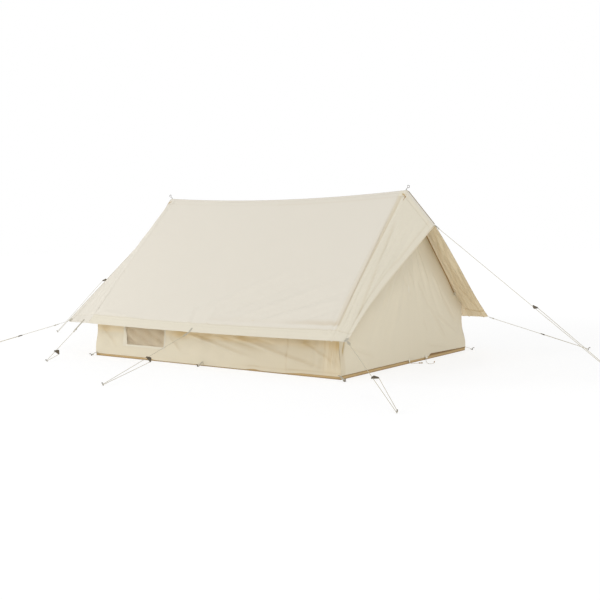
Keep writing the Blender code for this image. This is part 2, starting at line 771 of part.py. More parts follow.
def ring(name, anchor, look=None, home=None):
    """A D shape: a straight bar in the webbing and a round bow."""
    path = [(0.0, -RING_HALF), (0.0, RING_HALF)]
    for step in range(7):
        angle = math.radians(90 - 30 * step)
        path.append((RING_SIDE + RING_HALF * math.cos(angle), RING_HALF * math.sin(angle)))
    points = [anchor.point(anchor.bar, out, across) for out, across in path]
    return as_mesh(wire(name, points, CORD_RADIUS, look, 1, True, home))


def peg(name, anchor):
    """The part of a hooked peg above the ground, cut flat where it goes in."""
    path = [(0.0, -PEG_LOOP_HEIGHT - PEG_BELOW), (0.0, PEG_ABOVE_LOOP)]
    for step in range(1, 4):
        angle = math.radians(30 * step)
        path.append((PEG_BEND * (1 - math.cos(angle)), PEG_ABOVE_LOOP + PEG_BEND * math.sin(angle)))
    path.append((PEG_BEND + PEG_TIP, PEG_ABOVE_LOOP + PEG_BEND))
    points = [anchor.point(anchor.loop, out, 0.0, up) for out, up in path]
    bar = as_mesh(wire(name, points, PEG_RADIUS, STEEL, resolution=1))
    spot = anchor.loop
    ground = box(f"cut_{name}", (spot.x - 0.03, spot.y - 0.03, -0.03), (spot.x + 0.03, spot.y + 0.03, 0), home=GUIDES)
    cut(bar, ground)
    return bar


def rounded(corners, radius, steps=3):
    """A polygon's outline with each corner rounded off."""
    outline = []
    for before, corner, after in zip(corners[-1:] + corners[:-1], corners, corners[1:] + corners[:1]):
        back = (Vector(before) - Vector(corner)).normalized()
        ahead = (Vector(after) - Vector(corner)).normalized()
        half = back.angle(ahead) / 2
        centre = Vector(corner) + (back + ahead).normalized() * radius / math.sin(half)
        start = Vector(corner) + back * radius / math.tan(half) - centre
        end = Vector(corner) + ahead * radius / math.tan(half) - centre
        for step in range(steps + 1):
            outline.append(centre + start.slerp(end, step / steps) * radius)
    return outline


def runner_mesh():
    """A triangular line runner, drilled along the standing line. Its base faces the peg."""
    left = -RUNNER_HOLE_IN
    corners = [(left, 0.0), (left + RUNNER_BASE, 0.0), (left + RUNNER_BASE / 2, RUNNER_HEIGHT)]
    curve = bpy.data.curves.new("runner", "CURVE")
    curve.dimensions = "2D"
    curve.fill_mode = "BOTH"
    curve.extrude = RUNNER_THICK / 2
    outline = rounded(corners, RUNNER_ROUND)
    spline = curve.splines.new("POLY")
    spline.points.add(len(outline) - 1)
    for slot, point in zip(spline.points, outline):
        slot.co = (point.x, point.y, 0.0, 1.0)
    spline.use_cyclic_u = True
    plate = add_object("runner_plate", curve)
    solid = add_object("runner_solid", baked(plate))
    drill = rod("runner_drill", (0, -0.02, 0), (0, RUNNER_HEIGHT + 0.02, 0), RUNNER_HOLE, 12)
    cut(solid, drill)
    data = baked(solid)
    for helper in (plate, solid, drill):
        bpy.data.objects.remove(helper, do_unlink=True)
    return data


def guy_line(name, anchor, share, turn):
    """The cord from the webbing, round the peg and back to the runner, and where the runner sits."""
    wrap = PEG_RADIUS + CORD_RADIUS + 0.0004
    touch_down = anchor.point(anchor.loop, 0.0, wrap)
    leg = (touch_down - anchor.knot).normalized()
    runner = anchor.knot.lerp(touch_down, share)
    back = Matrix.Rotation(turn, 3, leg) @ Vector((0, 0, 1)).cross(leg).normalized()
    end = runner + back * RUNNER_LEG_GAP + leg * SEAM_GAP
    bend = [anchor.point(anchor.loop, wrap * math.sin(a), wrap * math.cos(a))
            for a in (math.radians(36 * step) for step in range(1, 5))]
    turn_back = anchor.point(anchor.loop, 0.0, -wrap)
    route = [anchor.knot, touch_down] + bend + [turn_back, end]
    line = as_mesh(wire(name, route, CORD_RADIUS, CORD))
    join(line, ring(f"{name}_loop", anchor, home=GUIDES))
    knot = bmesh.new()
    bmesh.ops.create_uvsphere(knot, u_segments=10, v_segments=6, radius=KNOT_RADIUS)
    bead = add_object(f"{name}_knot", mesh_from(knot, name), home=GUIDES)
    bead.location = anchor.knot
    join(line, bead)
    return Matrix.Translation(runner) @ Matrix((back, -leg, leg.cross(back))).transposed().to_4x4()


def guy_lines():
    runner = runner_mesh()
    for name, cloth_name, (x, y), (peg_x, peg_y), webbing in GUY_POINTS:
        sewn = canopy(x, y) - Vector((0, 0, CLOTH * 0.7))
        anchor = Anchor(sewn, (x + peg_x, y + peg_y), webbing)
        webbing_tab(cloth_name, anchor)
        if name not in PITCHED:
            continue
        share, turn = PITCHED[name]
        peg(f"guy_peg_{name}", anchor)
        frame = guy_line(f"guy_line_{name}", anchor, share, math.radians(turn))
        made = add_object(f"runner_{name}", runner.copy(), ALLOY)
        made.matrix_world = frame


def ground_loop(name, wall, start, spot):
    anchor = Anchor(start, spot)
    tab = webbing_tab(wall, anchor, WEBBING_WIDTH)
    inside = BASE_HALF_WIDTH - 0.75 * CLOTH
    cut(tab, box(f"cut_{name}_tab", (start[0] - 0.1, -inside, 0.0), (start[0] + 0.1, inside, 0.1), home=GUIDES))
    hooked = peg(name, anchor)
    join(hooked, ring(f"{name}_ring", anchor, home=GUIDES))


def ground_loops():
    for word, side in SIDES:
        wall = f"side_wall_{word}"
        hem = side * BASE_HALF_WIDTH
        peg_y = side * (BASE_HALF_WIDTH + MIDDLE_PEG_OUT)
        ground_loop(f"ground_peg_{word}_middle", wall, (LOOP_MIDDLE_X, hem, LOOP_HEIGHT), (LOOP_MIDDLE_X, peg_y))
        for place, end in ENDS:
            inset = BASE_HALF_LENGTH - WEBBING_WIDTH
            out_x, out_y = CORNER_PEG_OUT[word, place]
            spot = (end * (BASE_HALF_LENGTH + out_x), side * (BASE_HALF_WIDTH + out_y))
            ground_loop(f"ground_peg_{word}_{place}", wall, (end * inset, hem, LOOP_HEIGHT), spot)


# Door ties
def smooth_route(points, per_span=3):
    """A smooth curve through hand-laid points."""
    points = [Vector(point) for point in points]
    padded = [2 * points[0] - points[1]] + points + [2 * points[-1] - points[-2]]
    route = []
    for a, b, c, d in zip(padded, padded[1:], padded[2:], padded[3:]):
        for step in range(per_span):
            t = step / per_span
            route.append(0.5 * (2 * b + (c - a) * t + (2 * a - 5 * b + 4 * c - d) * t * t
                                + (3 * b - a - 3 * c + d) * t ** 3))
    return route + [points[-1]]


def door_tie(name, end, route):
    """A cord from the leaf's hem to a waisted toggle that lies on the ground."""
    path = smooth_route([(BASE_HALF_LENGTH + out, across, height) for out, across, height in route])
    heading = (path[-1] - path[-2])
    heading.z = 0
    heading.normalize()
    half = TOGGLE_LENGTH / 2
    profile = [(0, 0), (0.6 * TOGGLE_RADIUS, 0), (TOGGLE_RADIUS, 0.2 * half), (TOGGLE_RADIUS, 0.7 * half),
               (TOGGLE_WAIST, half), (TOGGLE_RADIUS, 1.3 * half), (TOGGLE_RADIUS, 1.8 * half),
               (0.6 * TOGGLE_RADIUS, 2 * half), (0, 2 * half)]
    toggle = turned(name, profile, (0, 0, 0), WOOD, steps=10)
    seat = path[-1] + heading * TOUCH
    seat.z = TOGGLE_RADIUS + TOUCH
    turn = at_end(heading, end).to_track_quat("Z", "Y").to_matrix().to_4x4()
    toggle.matrix_world = Matrix.Translation(at_end(seat, end)) @ turn
    ends = [at_end(point, end) for point in path] + [at_end(seat + heading * TOGGLE_RADIUS, end)]
    cord = as_mesh(wire(f"{name}_cord", ends, TIE_RADIUS, resolution=1, home=GUIDES))
    join(toggle, cord)


def build():
    for word, side in SIDES:
        roof_panel(f"roof_panel_{word}", side)
        side_wall(f"side_wall_{word}", side)
        window_net(f"window_net_{word}", side)
        window_flap(f"window_flap_{word}", side)
    for place, end in ENDS:
        for word, side in SIDES:
            hood_panel(f"{place}_hood_{word}", end, side)
            gable_panel(f"{place}_gable_{word}", end, side)
            door_leaf(f"{place}_door_{word}", end, side)
        zip_band(end)
        zip_slider(f"{place}_zip_slider", end)
        pole(place, end)
        pole_foot(f"{place}_pole_foot", end)
    door_tie("door_tie_near", 1, TIE_NEAR)
    door_tie("door_tie_far", 1, TIE_FAR)
    ridge_tape()
    groundsheet()
    guy_lines()
    ground_loops()


build()
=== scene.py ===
# %% [markdown]
# # A cotton ridge tent, dressed around its CAD solids
#
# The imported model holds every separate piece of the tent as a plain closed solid. This lesson loads
# it as a fixed frame and makes the cloth, webbing, cord and fittings that are seen. Everything is
# in metres. The ridge runs along X with the door at +X, the near side is -Y, and the ground is z = 0.

from math import atan2, ceil, cos, exp, hypot, pi, radians, sin

import bmesh
import bpy
from mathutils import Matrix, Vector


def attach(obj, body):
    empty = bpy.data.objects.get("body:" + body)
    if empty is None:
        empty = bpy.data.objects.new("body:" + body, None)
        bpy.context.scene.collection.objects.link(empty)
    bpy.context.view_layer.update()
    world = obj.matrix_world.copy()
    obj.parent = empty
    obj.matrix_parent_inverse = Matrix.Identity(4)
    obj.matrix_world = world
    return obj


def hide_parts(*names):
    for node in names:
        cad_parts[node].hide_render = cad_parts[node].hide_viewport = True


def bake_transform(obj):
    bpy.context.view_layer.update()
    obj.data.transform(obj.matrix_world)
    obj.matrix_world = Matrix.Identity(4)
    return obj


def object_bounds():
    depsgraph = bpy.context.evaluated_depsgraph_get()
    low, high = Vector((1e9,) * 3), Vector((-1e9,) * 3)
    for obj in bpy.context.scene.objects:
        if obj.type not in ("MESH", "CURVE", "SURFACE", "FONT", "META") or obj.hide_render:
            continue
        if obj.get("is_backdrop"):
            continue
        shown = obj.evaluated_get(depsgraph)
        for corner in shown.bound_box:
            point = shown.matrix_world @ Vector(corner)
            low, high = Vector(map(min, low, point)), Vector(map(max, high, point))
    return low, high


TURN = 2 * pi

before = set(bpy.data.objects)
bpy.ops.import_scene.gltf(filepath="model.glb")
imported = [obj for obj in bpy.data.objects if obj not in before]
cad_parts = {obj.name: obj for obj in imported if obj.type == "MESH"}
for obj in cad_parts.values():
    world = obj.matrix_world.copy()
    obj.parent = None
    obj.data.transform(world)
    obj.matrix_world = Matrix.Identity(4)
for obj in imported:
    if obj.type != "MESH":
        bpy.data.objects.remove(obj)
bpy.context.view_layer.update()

# %% [markdown]
# The camera comes first, so that every later cell can be judged through it. Its place and its three
# angles were worked out from points on the tent whose places the CAD gives: the corners of the
# groundsheet, the ridge and the pegs.

# %% Camera
def added(name, data):
    """A new object in the scene."""
    made = bpy.data.objects.new(name, data)
    bpy.context.scene.collection.objects.link(made)
    return made


LENS_PIXELS, FRAME_PIXELS, SENSOR = 964.36, 600.0, 36.0
EYE = Vector((5.56845, -7.17210, 1.19212))
YAW, PITCH, ROLL = 2.210358, -0.080182, -0.012914
AXIS_BELOW_MIDDLE = 3.7

ahead = Vector((cos(PITCH) * cos(YAW), cos(PITCH) * sin(YAW), sin(PITCH)))
level_right = Vector((sin(YAW), -cos(YAW), 0.0))
right = cos(ROLL) * level_right + sin(ROLL) * level_right.cross(ahead)
camera_up = right.cross(ahead)
camera = added("camera", bpy.data.cameras.new("camera"))
camera.matrix_world = Matrix.Translation(EYE) @ Matrix((right, camera_up, -ahead)).transposed().to_4x4()
camera.data.sensor_width = SENSOR
camera.data.lens = LENS_PIXELS * SENSOR / FRAME_PIXELS
camera.data.shift_y = AXIS_BELOW_MIDDLE / FRAME_PIXELS
camera.data.clip_end = 200.0
bpy.context.scene.camera = camera
print("lens:", round(camera.data.lens, 2), "mm")

# %% [markdown]
# Materials are written as sums. The class below wraps one socket of a node tree. Python's + - * on
# values add Math nodes, and the reflected forms let a line say 0.2 * noise. Colours go through Mix
# nodes, because a Math node would turn them grey. Every other node comes from one function, `node`.

# %% Shader sums
class Wire:
    """One output socket of a node tree that can be used in sums."""

    def __init__(self, socket):
        self.socket = socket
        self.tree = socket.id_data

    def sum_of(self, operation, first, second=None):
        inputs = {0: first} if second is None else {0: first, 1: second}
        return node(self.tree, "ShaderNodeMath", {"operation": operation}, inputs)

    def __add__(self, other):
        return self.sum_of("ADD", self, other)

    def __radd__(self, other):
        return self.sum_of("ADD", other, self)

    def __sub__(self, other):
        return self.sum_of("SUBTRACT", self, other)

    def __mul__(self, other):
        return self.sum_of("MULTIPLY", self, other)

    def __rmul__(self, other):
        return self.sum_of("MULTIPLY", other, self)

    def sine(self):
        return self.sum_of("SINE", self)


def node(tree, kind, settings=None, inputs=None, output=0):
    """Any node: its settings first, then the values or wires of its sockets."""
    made = tree.nodes.new(kind)
    for name, value in (settings or {}).items():
        setattr(made, name, value)
    for name, value in (inputs or {}).items():
        if isinstance(value, Wire):
            tree.links.new(value.socket, made.inputs[name])
        else:
            made.inputs[name].default_value = value
    return Wire(made.outputs[output])


def mixed(tree, share, first, second):
    """A blend of two colours."""
    return node(tree, "ShaderNodeMix", {"data_type": "RGBA"}, {0: share, 6: first, 7: second}, 2)


def linear(red, green, blue):
    """A colour as it is seen on screen, 0 to 255, as the numbers that Blender counts with."""
    parts = [value / 255 for value in (red, green, blue)]
    return tuple(p / 12.92 if p < 0.04045 else ((p + 0.055) / 1.055) ** 2.4 for p in parts) + (1.0,)


def shade(colour, factor):
    return tuple(part * factor for part in colour[:3]) + (1.0,)


# %% [markdown]
# Every sheet gets a UV map in metres along its threads, so the weave keeps its real size and runs
# with the cloth. `finish_of` starts a material and hands back its tree, its shader and the two
# thread directions.

# %% Material base
WEAVE_MAP = "threads"


def finish_of(name, **constants):
    made = bpy.data.materials.new(name)
    made.use_nodes = True
    tree = made.node_tree
    shader = tree.nodes["Principled BSDF"]
    for socket, value in constants.items():
        shader.inputs[socket.replace("_", " ")].default_value = value
    return made, tree, shader


def threads(tree):
    """Distance along the warp, distance along the weft and the two as one vector, in metres."""
    place = node(tree, "ShaderNodeUVMap", {"uv_map": WEAVE_MAP})
    return (node(tree, "ShaderNodeSeparateXYZ", None, {0: place}),
            node(tree, "ShaderNodeSeparateXYZ", None, {0: place}, 1), place)


def noise(tree, place, scale, detail):
    return node(tree, "ShaderNodeTexNoise", None, {"Vector": place, "Scale": scale, "Detail": detail})


def stretched_noise(tree, place, across, along, detail=2.0, up=1.0):
    """Noise that is long in one direction, as a thicker thread is."""
    scaled = node(tree, "ShaderNodeVectorMath", {"operation": "MULTIPLY"},
                  {0: place, 1: (across, along, up)})
    return noise(tree, scaled, 1.0, detail)


def noted(tree, layer):
    """The number that each point of a cloth carries under this name."""
    return node(tree, "ShaderNodeAttribute", {"attribute_name": layer}, None, 2)


def woven_waves(warp, weft, pitch):
    """Threads over and under each other, as a height between -1 and 1."""
    return (warp * (TURN / pitch)).sine() * (weft * (TURN / pitch)).sine()


def connect(tree, wire, shader, socket):
    tree.links.new(wire.socket, shader.inputs[socket])


def relief(tree, height, distance, shader, strength=1.0):
    bump = node(tree, "ShaderNodeBump", None,
                {"Height": height, "Distance": distance, "Strength": strength})
    connect(tree, bump, shader, "Normal")


# %% [markdown]
# The tent's canvas is a plain-weave cotton: about 14 threads to the centimetre, some of them thicker
# than the rest, unbleached and dull. The roof panels are a slightly greyer batch than the hoods,
# walls and hems. Shade is painted into the cloth as a warm tan: every point of a sheet can carry a
# number, its painted shade, that says how much of that tan it shows, in creases, seams, hems and
# under the eave. Light that comes through the cotton is painted as a glow: the inner faces glow a
# little, and a second number, lit, says where such painted light falls on other cloth.

# %% Canvas
THREAD_PITCH, THREAD_TONE, CLOUD_TONE = 0.0014, 0.965, 0.975
# The layer of painted shade and its tan; the layer of painted light and the strengths of the glows.
PAINTED_SHADE_MAP, PAINTED_TAN = "painted_shade", linear(178, 148, 88)
LIT_MAP, LIT_GLOW, INNER_GLOW = "lit", 0.21, 0.12


def canvas(name, colour, glow=0.0):
    made, tree, shader = finish_of(name, Roughness=0.92, Specular_IOR_Level=0.18, Sheen_Weight=0.12,
                                   Sheen_Roughness=0.6, Emission_Color=colour,
                                   Emission_Strength=glow or LIT_GLOW)
    warp, weft, place = threads(tree)
    over = woven_waves(warp, weft, THREAD_PITCH)
    slubs = stretched_noise(tree, place, 9.0, 420.0) * 0.5 + stretched_noise(tree, place, 420.0, 9.0) * 0.5
    clouds = stretched_noise(tree, place, 2.3, 2.3, 4.0)
    woven = mixed(tree, slubs, shade(colour, THREAD_TONE), shade(colour, 2 - THREAD_TONE))
    toned = mixed(tree, clouds * 0.6, woven, shade(colour, CLOUD_TONE))
    # Painted shade: the tan is mixed in as far as a point's painted-shade number says.
    connect(tree, mixed(tree, noted(tree, PAINTED_SHADE_MAP), toned, PAINTED_TAN), shader, "Base Color")
    # Painted light: a cloth without a glow of its own glows tan as far as its lit number says.
    if not glow:
        connect(tree, mixed(tree, noted(tree, LIT_MAP), shade(colour, 0.0), PAINTED_TAN), shader, "Emission Color")
    connect(tree, 0.86 + 0.1 * slubs, shader, "Roughness")
    relief(tree, over * 0.5 + slubs, 0.0003, shader, 0.5)
    return made


CANVAS_ROOF = canvas("canvas_roof", linear(222, 216, 203))
CANVAS_HOOD = canvas("canvas_hood", linear(222, 215, 197))
CANVAS_WARM = canvas("canvas_warm", linear(220, 211, 189))
# Painted light: the inner faces are paler and glow evenly, for light that comes through the cotton.
CANVAS_INNER = canvas("canvas_inner", linear(231, 218, 190), INNER_GLOW)
print("canvas finishes:", 4)

# %% [markdown]
# The fittings are webbing with ribs across it, braided cord, galvanised steel pegs, dark line
# runners, alloy poles with rubber feet, and wooden toggles. Each pattern has its real scale.

# %% Webbing, cord and thread
def webbing_finish(name, colour, pitch=0.0022):
    made, tree, shader = finish_of(name, Roughness=0.82, Specular_IOR_Level=0.25)
    along, across, place = threads(tree)
    ribs = (along * (TURN / pitch)).sine() * 0.5 + 0.5
    worn = stretched_noise(tree, place, 40.0, 40.0, 3.0)
    tone = mixed(tree, ribs * 0.7, shade(colour, 0.78), shade(colour, 1.08))
    connect(tree, mixed(tree, worn * 0.35, tone, shade(colour, 1.3)), shader, "Base Color")
    relief(tree, ribs, 0.0004, shader)
    return made


def braid_finish(name, colour, pitch=0.006):
    made, tree, shader = finish_of(name, Roughness=0.78, Specular_IOR_Level=0.3)
    along, around, place = threads(tree)
    left = (along * (TURN / pitch) + around * (TURN * 4)).sine()
    other = (along * (TURN / pitch) - around * (TURN * 4)).sine()
    strands = left * other * 0.5 + 0.5
    worn = stretched_noise(tree, place, 60.0, 3.0, 3.0)
    tone = mixed(tree, strands, shade(colour, 0.82), shade(colour, 1.06))
    connect(tree, mixed(tree, worn * 0.3, tone, shade(colour, 0.8)), shader, "Base Color")
    relief(tree, strands, 0.0005, shader)
    return made


WEBBING = webbing_finish("webbing", linear(190, 184, 168))
PIPING = webbing_finish("piping", linear(150, 136, 104), 0.0016)
CORD = braid_finish("cord", linear(202, 194, 172))
# Painted shade: a brown cord for the shadow in each gable's seam.
SEAM_SHADOW_CORD = braid_finish("seam_shadow_cord", linear(178, 142, 90), 0.008)
THREAD = braid_finish("sewing_thread", linear(214, 206, 186), 0.002)


# %% Metal, rubber and wood
def metal_finish(name, colour, roughness, scratched):
    made, tree, shader = finish_of(name, Metallic=1.0, Roughness=roughness)
    place = node(tree, "ShaderNodeTexCoord", None, None, 3)
    brushed, dull = noise(tree, place, 420.0, 4.0), noise(tree, place, 60.0, 3.0)
    connect(tree, mixed(tree, dull, shade(colour, 0.8), shade(colour, 1.12)), shader, "Base Color")
    connect(tree, roughness - scratched / 2 + scratched * brushed, shader, "Roughness")
    relief(tree, brushed, 0.0001, shader, 0.4)
    return made


def plain_finish(name, colour, roughness, grain):
    """Rubber or wood: a dull body with a stretched grain."""
    made, tree, shader = finish_of(name, Roughness=roughness)
    place = node(tree, "ShaderNodeTexCoord", None, None, 3)
    lines = stretched_noise(tree, place, grain, 300.0, 5.0, 300.0)
    connect(tree, mixed(tree, lines, shade(colour, 0.7), shade(colour, 1.25)), shader, "Base Color")
    connect(tree, roughness - 0.1 + 0.2 * lines, shader, "Roughness")
    relief(tree, lines, 0.0002, shader)
    return made


STEEL = metal_finish("galvanised_steel", linear(122, 112, 94), 0.42, 0.2)
RUNNER = metal_finish("runner_alloy", linear(118, 108, 92), 0.5, 0.2)
ALLOY = metal_finish("pole_alloy", linear(92, 82, 64), 0.38, 0.15)
ZIP_METAL = metal_finish("zip_steel", linear(140, 134, 122), 0.4, 0.15)
RUBBER = plain_finish("foot_rubber", linear(48, 47, 45), 0.8, 300.0)
WOOD = plain_finish("toggle_wood", linear(178, 152, 112), 0.62, 900.0)


# %% [markdown]
# The groundsheet is a brown coated polyester. Its weave is finer than the canvas's and the coating
# gives it a soft shine. The window is a mosquito net of light brown thread.

# %% Groundsheet and net finish
def coated_finish(name, colour, dark):
    made, tree, shader = finish_of(name, Roughness=0.55, Specular_IOR_Level=0.4)
    warp, weft, place = threads(tree)
    weave = woven_waves(warp, weft, 0.0011)
    creased = stretched_noise(tree, place, 7.0, 7.0, 5.0)
    plain = mixed(tree, creased, shade(colour, 0.88), shade(colour, 1.1))
    # dark is a colour of painted shade, mixed in as far as the sheet's painted-shade number says.
    connect(tree, mixed(tree, noted(tree, PAINTED_SHADE_MAP), plain, dark), shader, "Base Color")
    connect(tree, 0.48 + 0.16 * creased, shader, "Roughness")
    relief(tree, weave * 0.2 + creased * 3.0, 0.0006, shader, 0.6)
    return made


SHEET = coated_finish("groundsheet_coated", linear(202, 173, 124), linear(122, 92, 48))
NET = braid_finish("net_thread", linear(242, 228, 204), 0.003)

# %% [markdown]
# Two ways of making a mesh do most of the work. `tube` sweeps a round section along a line, for
# cords, wire and rings. `cloth` lays a sheet over rows of points, which lie on its outer face, and
# thickens it inwards. Both write the UV map in metres. `grid` and `quad` make such rows.

# %% Mesh makers
CLOTH = 0.002  # thickness of the canvas, as in the CAD


def new_object(name, data, looks, body):
    made = added(name, data)
    for look in looks:
        data.materials.append(look)
    if body:
        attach(made, body)
    return made


def mesh_of(name, points, faces, uvs=None):
    """A smooth mesh; uvs holds one pair for each point."""
    data = bpy.data.meshes.new(name)
    data.from_pydata([tuple(point) for point in points], [], faces)
    if uvs:
        layer = data.uv_layers.new(name=WEAVE_MAP)
        for loop in data.loops:
            layer.data[loop.index].uv = uvs[loop.vertex_index]
    for face in data.polygons:
        face.use_smooth = True
    data.update()
    return data


def frames_along(line):
    """Two directions across a line at each of its points, turning as little as they can."""
    frames, side = [], None
    for k in range(len(line)):
        before, after = line[max(k - 1, 0)], line[min(k + 1, len(line) - 1)]
        way = (after - before).normalized()
        if side is None:
            side = way.orthogonal().normalized()
        side = (side - way * side.dot(way)).normalized()
        frames.append((side, way.cross(side)))
    return frames


def ring_faces(rings, sides, start=0, capped=True):
    """The faces between rings of points, and a cap on each end."""
    faces = []
    for ring in range(rings - 1):
        for step in range(sides):
            a, b = (start + ring * sides + corner % sides for corner in (step, step + 1))
            faces.append([a, b, b + sides, a + sides])
    last = start + (rings - 1) * sides
    caps = [list(range(start, start + sides))[::-1], list(range(last, last + sides))]
    return faces + caps if capped else faces


def tube_rings(line, radius, sides, start=0):
    """Points, faces and UVs of a capped tube."""
    points, uvs, run = [], [], 0.0
    for k, ((side, lift), centre) in enumerate(zip(frames_along(line), line)):
        if k:
            run += (centre - line[k - 1]).length
        for step in range(sides):
            angle = TURN * step / sides
            points.append(centre + radius * (cos(angle) * side + sin(angle) * lift))
            uvs.append((run, step / sides))
    return points, ring_faces(len(line), sides, start), uvs


def tube(name, lines, radius, look, body=None, sides=8):
    """One piece of one or more round cords or wires."""
    points, faces, uvs = [], [], []
    for line in lines:
        more_points, more_faces, more_uvs = tube_rings(line, radius, sides, len(points))
        points += more_points
        faces += more_faces
        uvs += more_uvs
    return new_object(name, mesh_of(name, points, faces, uvs), [look], body)


def sheet_mesh(name, rows, facing, holes=None):
    """A sheet through rows of points. holes(row, column) says which cells are left open."""
    deep, wide = len(rows), len(rows[0])
    first = (rows[1][0] - rows[0][0]).cross(rows[0][1] - rows[0][0])
    for k in range(1, deep):
        for m in range(1, wide):
            first = first + (rows[k][m] - rows[k - 1][m]).cross(rows[k][m] - rows[k][m - 1])
    flip = first.dot(Vector(facing)) > 0
    across, middle = [0.0], rows[deep // 2]
    for m in range(1, wide):
        across.append(across[-1] + (middle[m] - middle[m - 1]).length)
    points, uvs, faces, down = [], [], [], 0.0
    for k, row in enumerate(rows):
        if k:
            down += (row[wide // 2] - rows[k - 1][wide // 2]).length
        points += row
        uvs += [(across[m], down) for m in range(wide)]
    for k in range(deep - 1):
        for m in range(wide - 1):
            if holes and holes(k, m):
                continue
            a = k * wide + m
            cell = [a, a + 1, a + wide + 1, a + wide]
            faces.append(cell[::-1] if flip else cell)
    data = mesh_of(name, points, faces, uvs)
    bm = bmesh.new()
    bm.from_mesh(data)
    bmesh.ops.delete(bm, geom=[v for v in bm.verts if not v.link_faces], context="VERTS")
    bmesh.ops.remove_doubles(bm, verts=bm.verts, dist=0.00002)
    bmesh.ops.dissolve_degenerate(bm, edges=bm.edges, dist=0.000001)
    bm.to_mesh(data)
    bm.free()
    return data


def cloth(name, rows, facing, look, body="tent", thickness=CLOTH, holes=None, inner=None):
    """A sheet of cloth whose outer face looks along facing; inner is the look of its other face."""
    data = sheet_mesh(name, rows, facing, holes)
    made = new_object(name, data, [look, inner or look], body)
    shell = made.modifiers.new("thickness", "SOLIDIFY")
    shell.thickness = thickness
    shell.offset = -1.0
    shell.material_offset = 1
    made.modifiers.new("flat_rims", "WEIGHTED_NORMAL")
    return made


def painted_light_layer(piece, rule, layer_name=PAINTED_SHADE_MAP):
    """Notes on every point of a cloth how much painted shade, as tan, it shows, and in the lit layer how
    much painted light; rule takes the point.
    """
    layer = piece.data.attributes.new(layer_name, "FLOAT", "POINT")
    for vertex in piece.data.vertices:
        layer.data[vertex.index].value = min(1.0, max(0.0, rule(vertex.co)))


def lerp(a, b, share):
    return a + (b - a) * share


def smooth(low, high, value):
    share = min(1.0, max(0.0, (value - low) / (high - low)))
    return share * share * (3.0 - 2.0 * share)


def shares(count):
    return [step / count for step in range(count + 1)]


def span(low, high, count):
    return [lerp(low, high, share) for share in shares(count)]


def grid(downs, alongs, spot):
    """Rows of the points that spot gives for each pair."""
    return [[spot(down, along) for along in alongs] for down in downs]


def quad(corners, deep, wide, spot):
    """Rows over a patch with four corners, in order round it; spot turns plan numbers into a point."""
    a, b, c, d = (Vector(corner) for corner in corners)
    return grid(shares(deep), shares(wide),
                lambda down, along: spot(a.lerp(b, along).lerp(d.lerp(c, along), down)))


# %% [markdown]
# The sizes below are the CAD's own, so each sheet falls where its solid is. The canopy is one
# surface: a roof that sags between two poles, and hoods that fall away from them.

# %% Canopy surface
SEAM_GAP, TOUCH = 0.0006, 0.0003
BASE_HALF_LENGTH, BASE_HALF_WIDTH, RIDGE_HEIGHT = 1.400, 1.050, 1.486
RIDGE_SAG, RIDGE_END, RIDGE_SLOT, EAVE_REACH = 0.047, 1.387, 0.005, 1.156
EAVE_HEIGHT, EAVE_SAG, ROOF_SAG, ROOF_SAG_END = 0.321, 0.018, 0.016, 0.004
SEAM_AT_RIDGE, SEAM_AT_EAVE = 1.325, 1.379
HOOD_PEAK, HOOD_PEAK_HEIGHT, HOOD_FOLD = 1.651, 1.188, 0.008
CORNER_NEAR, CORNER_FAR, CORNER_REAR = 1.537, 1.585, 1.664
HOOD_EDGES = {  # by end and side: the corner, how deep the edge is cut back, how early, its rise
    (1, -1): (CORNER_NEAR, 0.040, 1.5, 0.000), (1, 1): (CORNER_FAR, 0.019, 2.0, 0.018),
    (-1, -1): (CORNER_REAR, 0.006, 1.0, 0.000), (-1, 1): (CORNER_REAR, 0.006, 1.0, 0.000),
}
SIDES = (("near", -1), ("far", 1))
ENDS = (("front", 1), ("rear", -1))


def ridge_height(x):
    return RIDGE_HEIGHT - RIDGE_SAG * max(0.0, 1.0 - (x / RIDGE_END) ** 2)


def eave_height(x):
    return EAVE_HEIGHT - EAVE_SAG * max(0.0, 1.0 - (x / CORNER_FAR) ** 2)


def roof_height(x, y):
    part = abs(y) / EAVE_REACH
    slack = max(0.0, 1.0 - (x / RIDGE_END) ** 2)
    sag = (ROOF_SAG * slack + ROOF_SAG_END) * sin(pi * part)
    return lerp(ridge_height(x), eave_height(x), part) - sag


def hood_edge(x, y):
    """How far out and how high a hood's free edge is, beside a point."""
    corner, cut_back, early, rise = HOOD_EDGES[1 if x > 0 else -1, 1 if y > 0 else -1]
    part = abs(y) / EAVE_REACH
    out = lerp(HOOD_PEAK, corner, part) - cut_back * sin(pi * part ** early)
    return out, lerp(HOOD_PEAK_HEIGHT, EAVE_HEIGHT, part) + rise * sin(pi * part)


def canopy_height(x, y):
    part = abs(y) / EAVE_REACH
    out, low = hood_edge(x, y)
    share = min(1.0, max(0.0, (abs(x) - RIDGE_END) / (out - RIDGE_END)))
    fold = HOOD_FOLD * sin(pi * share) * sin(4.0 * pi * part) * smooth(0.0, 0.25, part)
    return roof_height(x, y) + (low - roof_height(out, y)) * share + fold


def seam_x(part):
    return lerp(SEAM_AT_RIDGE, SEAM_AT_EAVE, part)


# %% [markdown]
# Each guy line starts at a webbing tab on the canopy, runs to its peg, goes round it and comes back
# to a triangular runner that grips the line. `Anchor` holds the directions along, across and
# above one such line. The numbers repeat the CAD's.

# %% Guy points
CORD_RADIUS, RING_SIDE, KNOT_STEPS, KNOT_PITCH = 0.002, 0.004, 14, 0.0044
WEBBING_WIDTH, WEBBING_SEAM, WEBBING_THICK, WEBBING_TAIL = 0.018, 0.0012, 0.0012, 0.012
CORNER_REACH = 1.5  # tabs further out than this are at a corner
PEG_RADIUS, PEG_LOOP_HEIGHT = 0.003, 0.010
RUNNER_LEG_IN, RUNNER_LEG_GAP = 0.0135, 0.043
WEBBING_TURN = CORD_RADIUS + TOUCH + WEBBING_THICK / 2
RING_HALF = WEBBING_WIDTH / 2 + CORD_RADIUS + SEAM_GAP

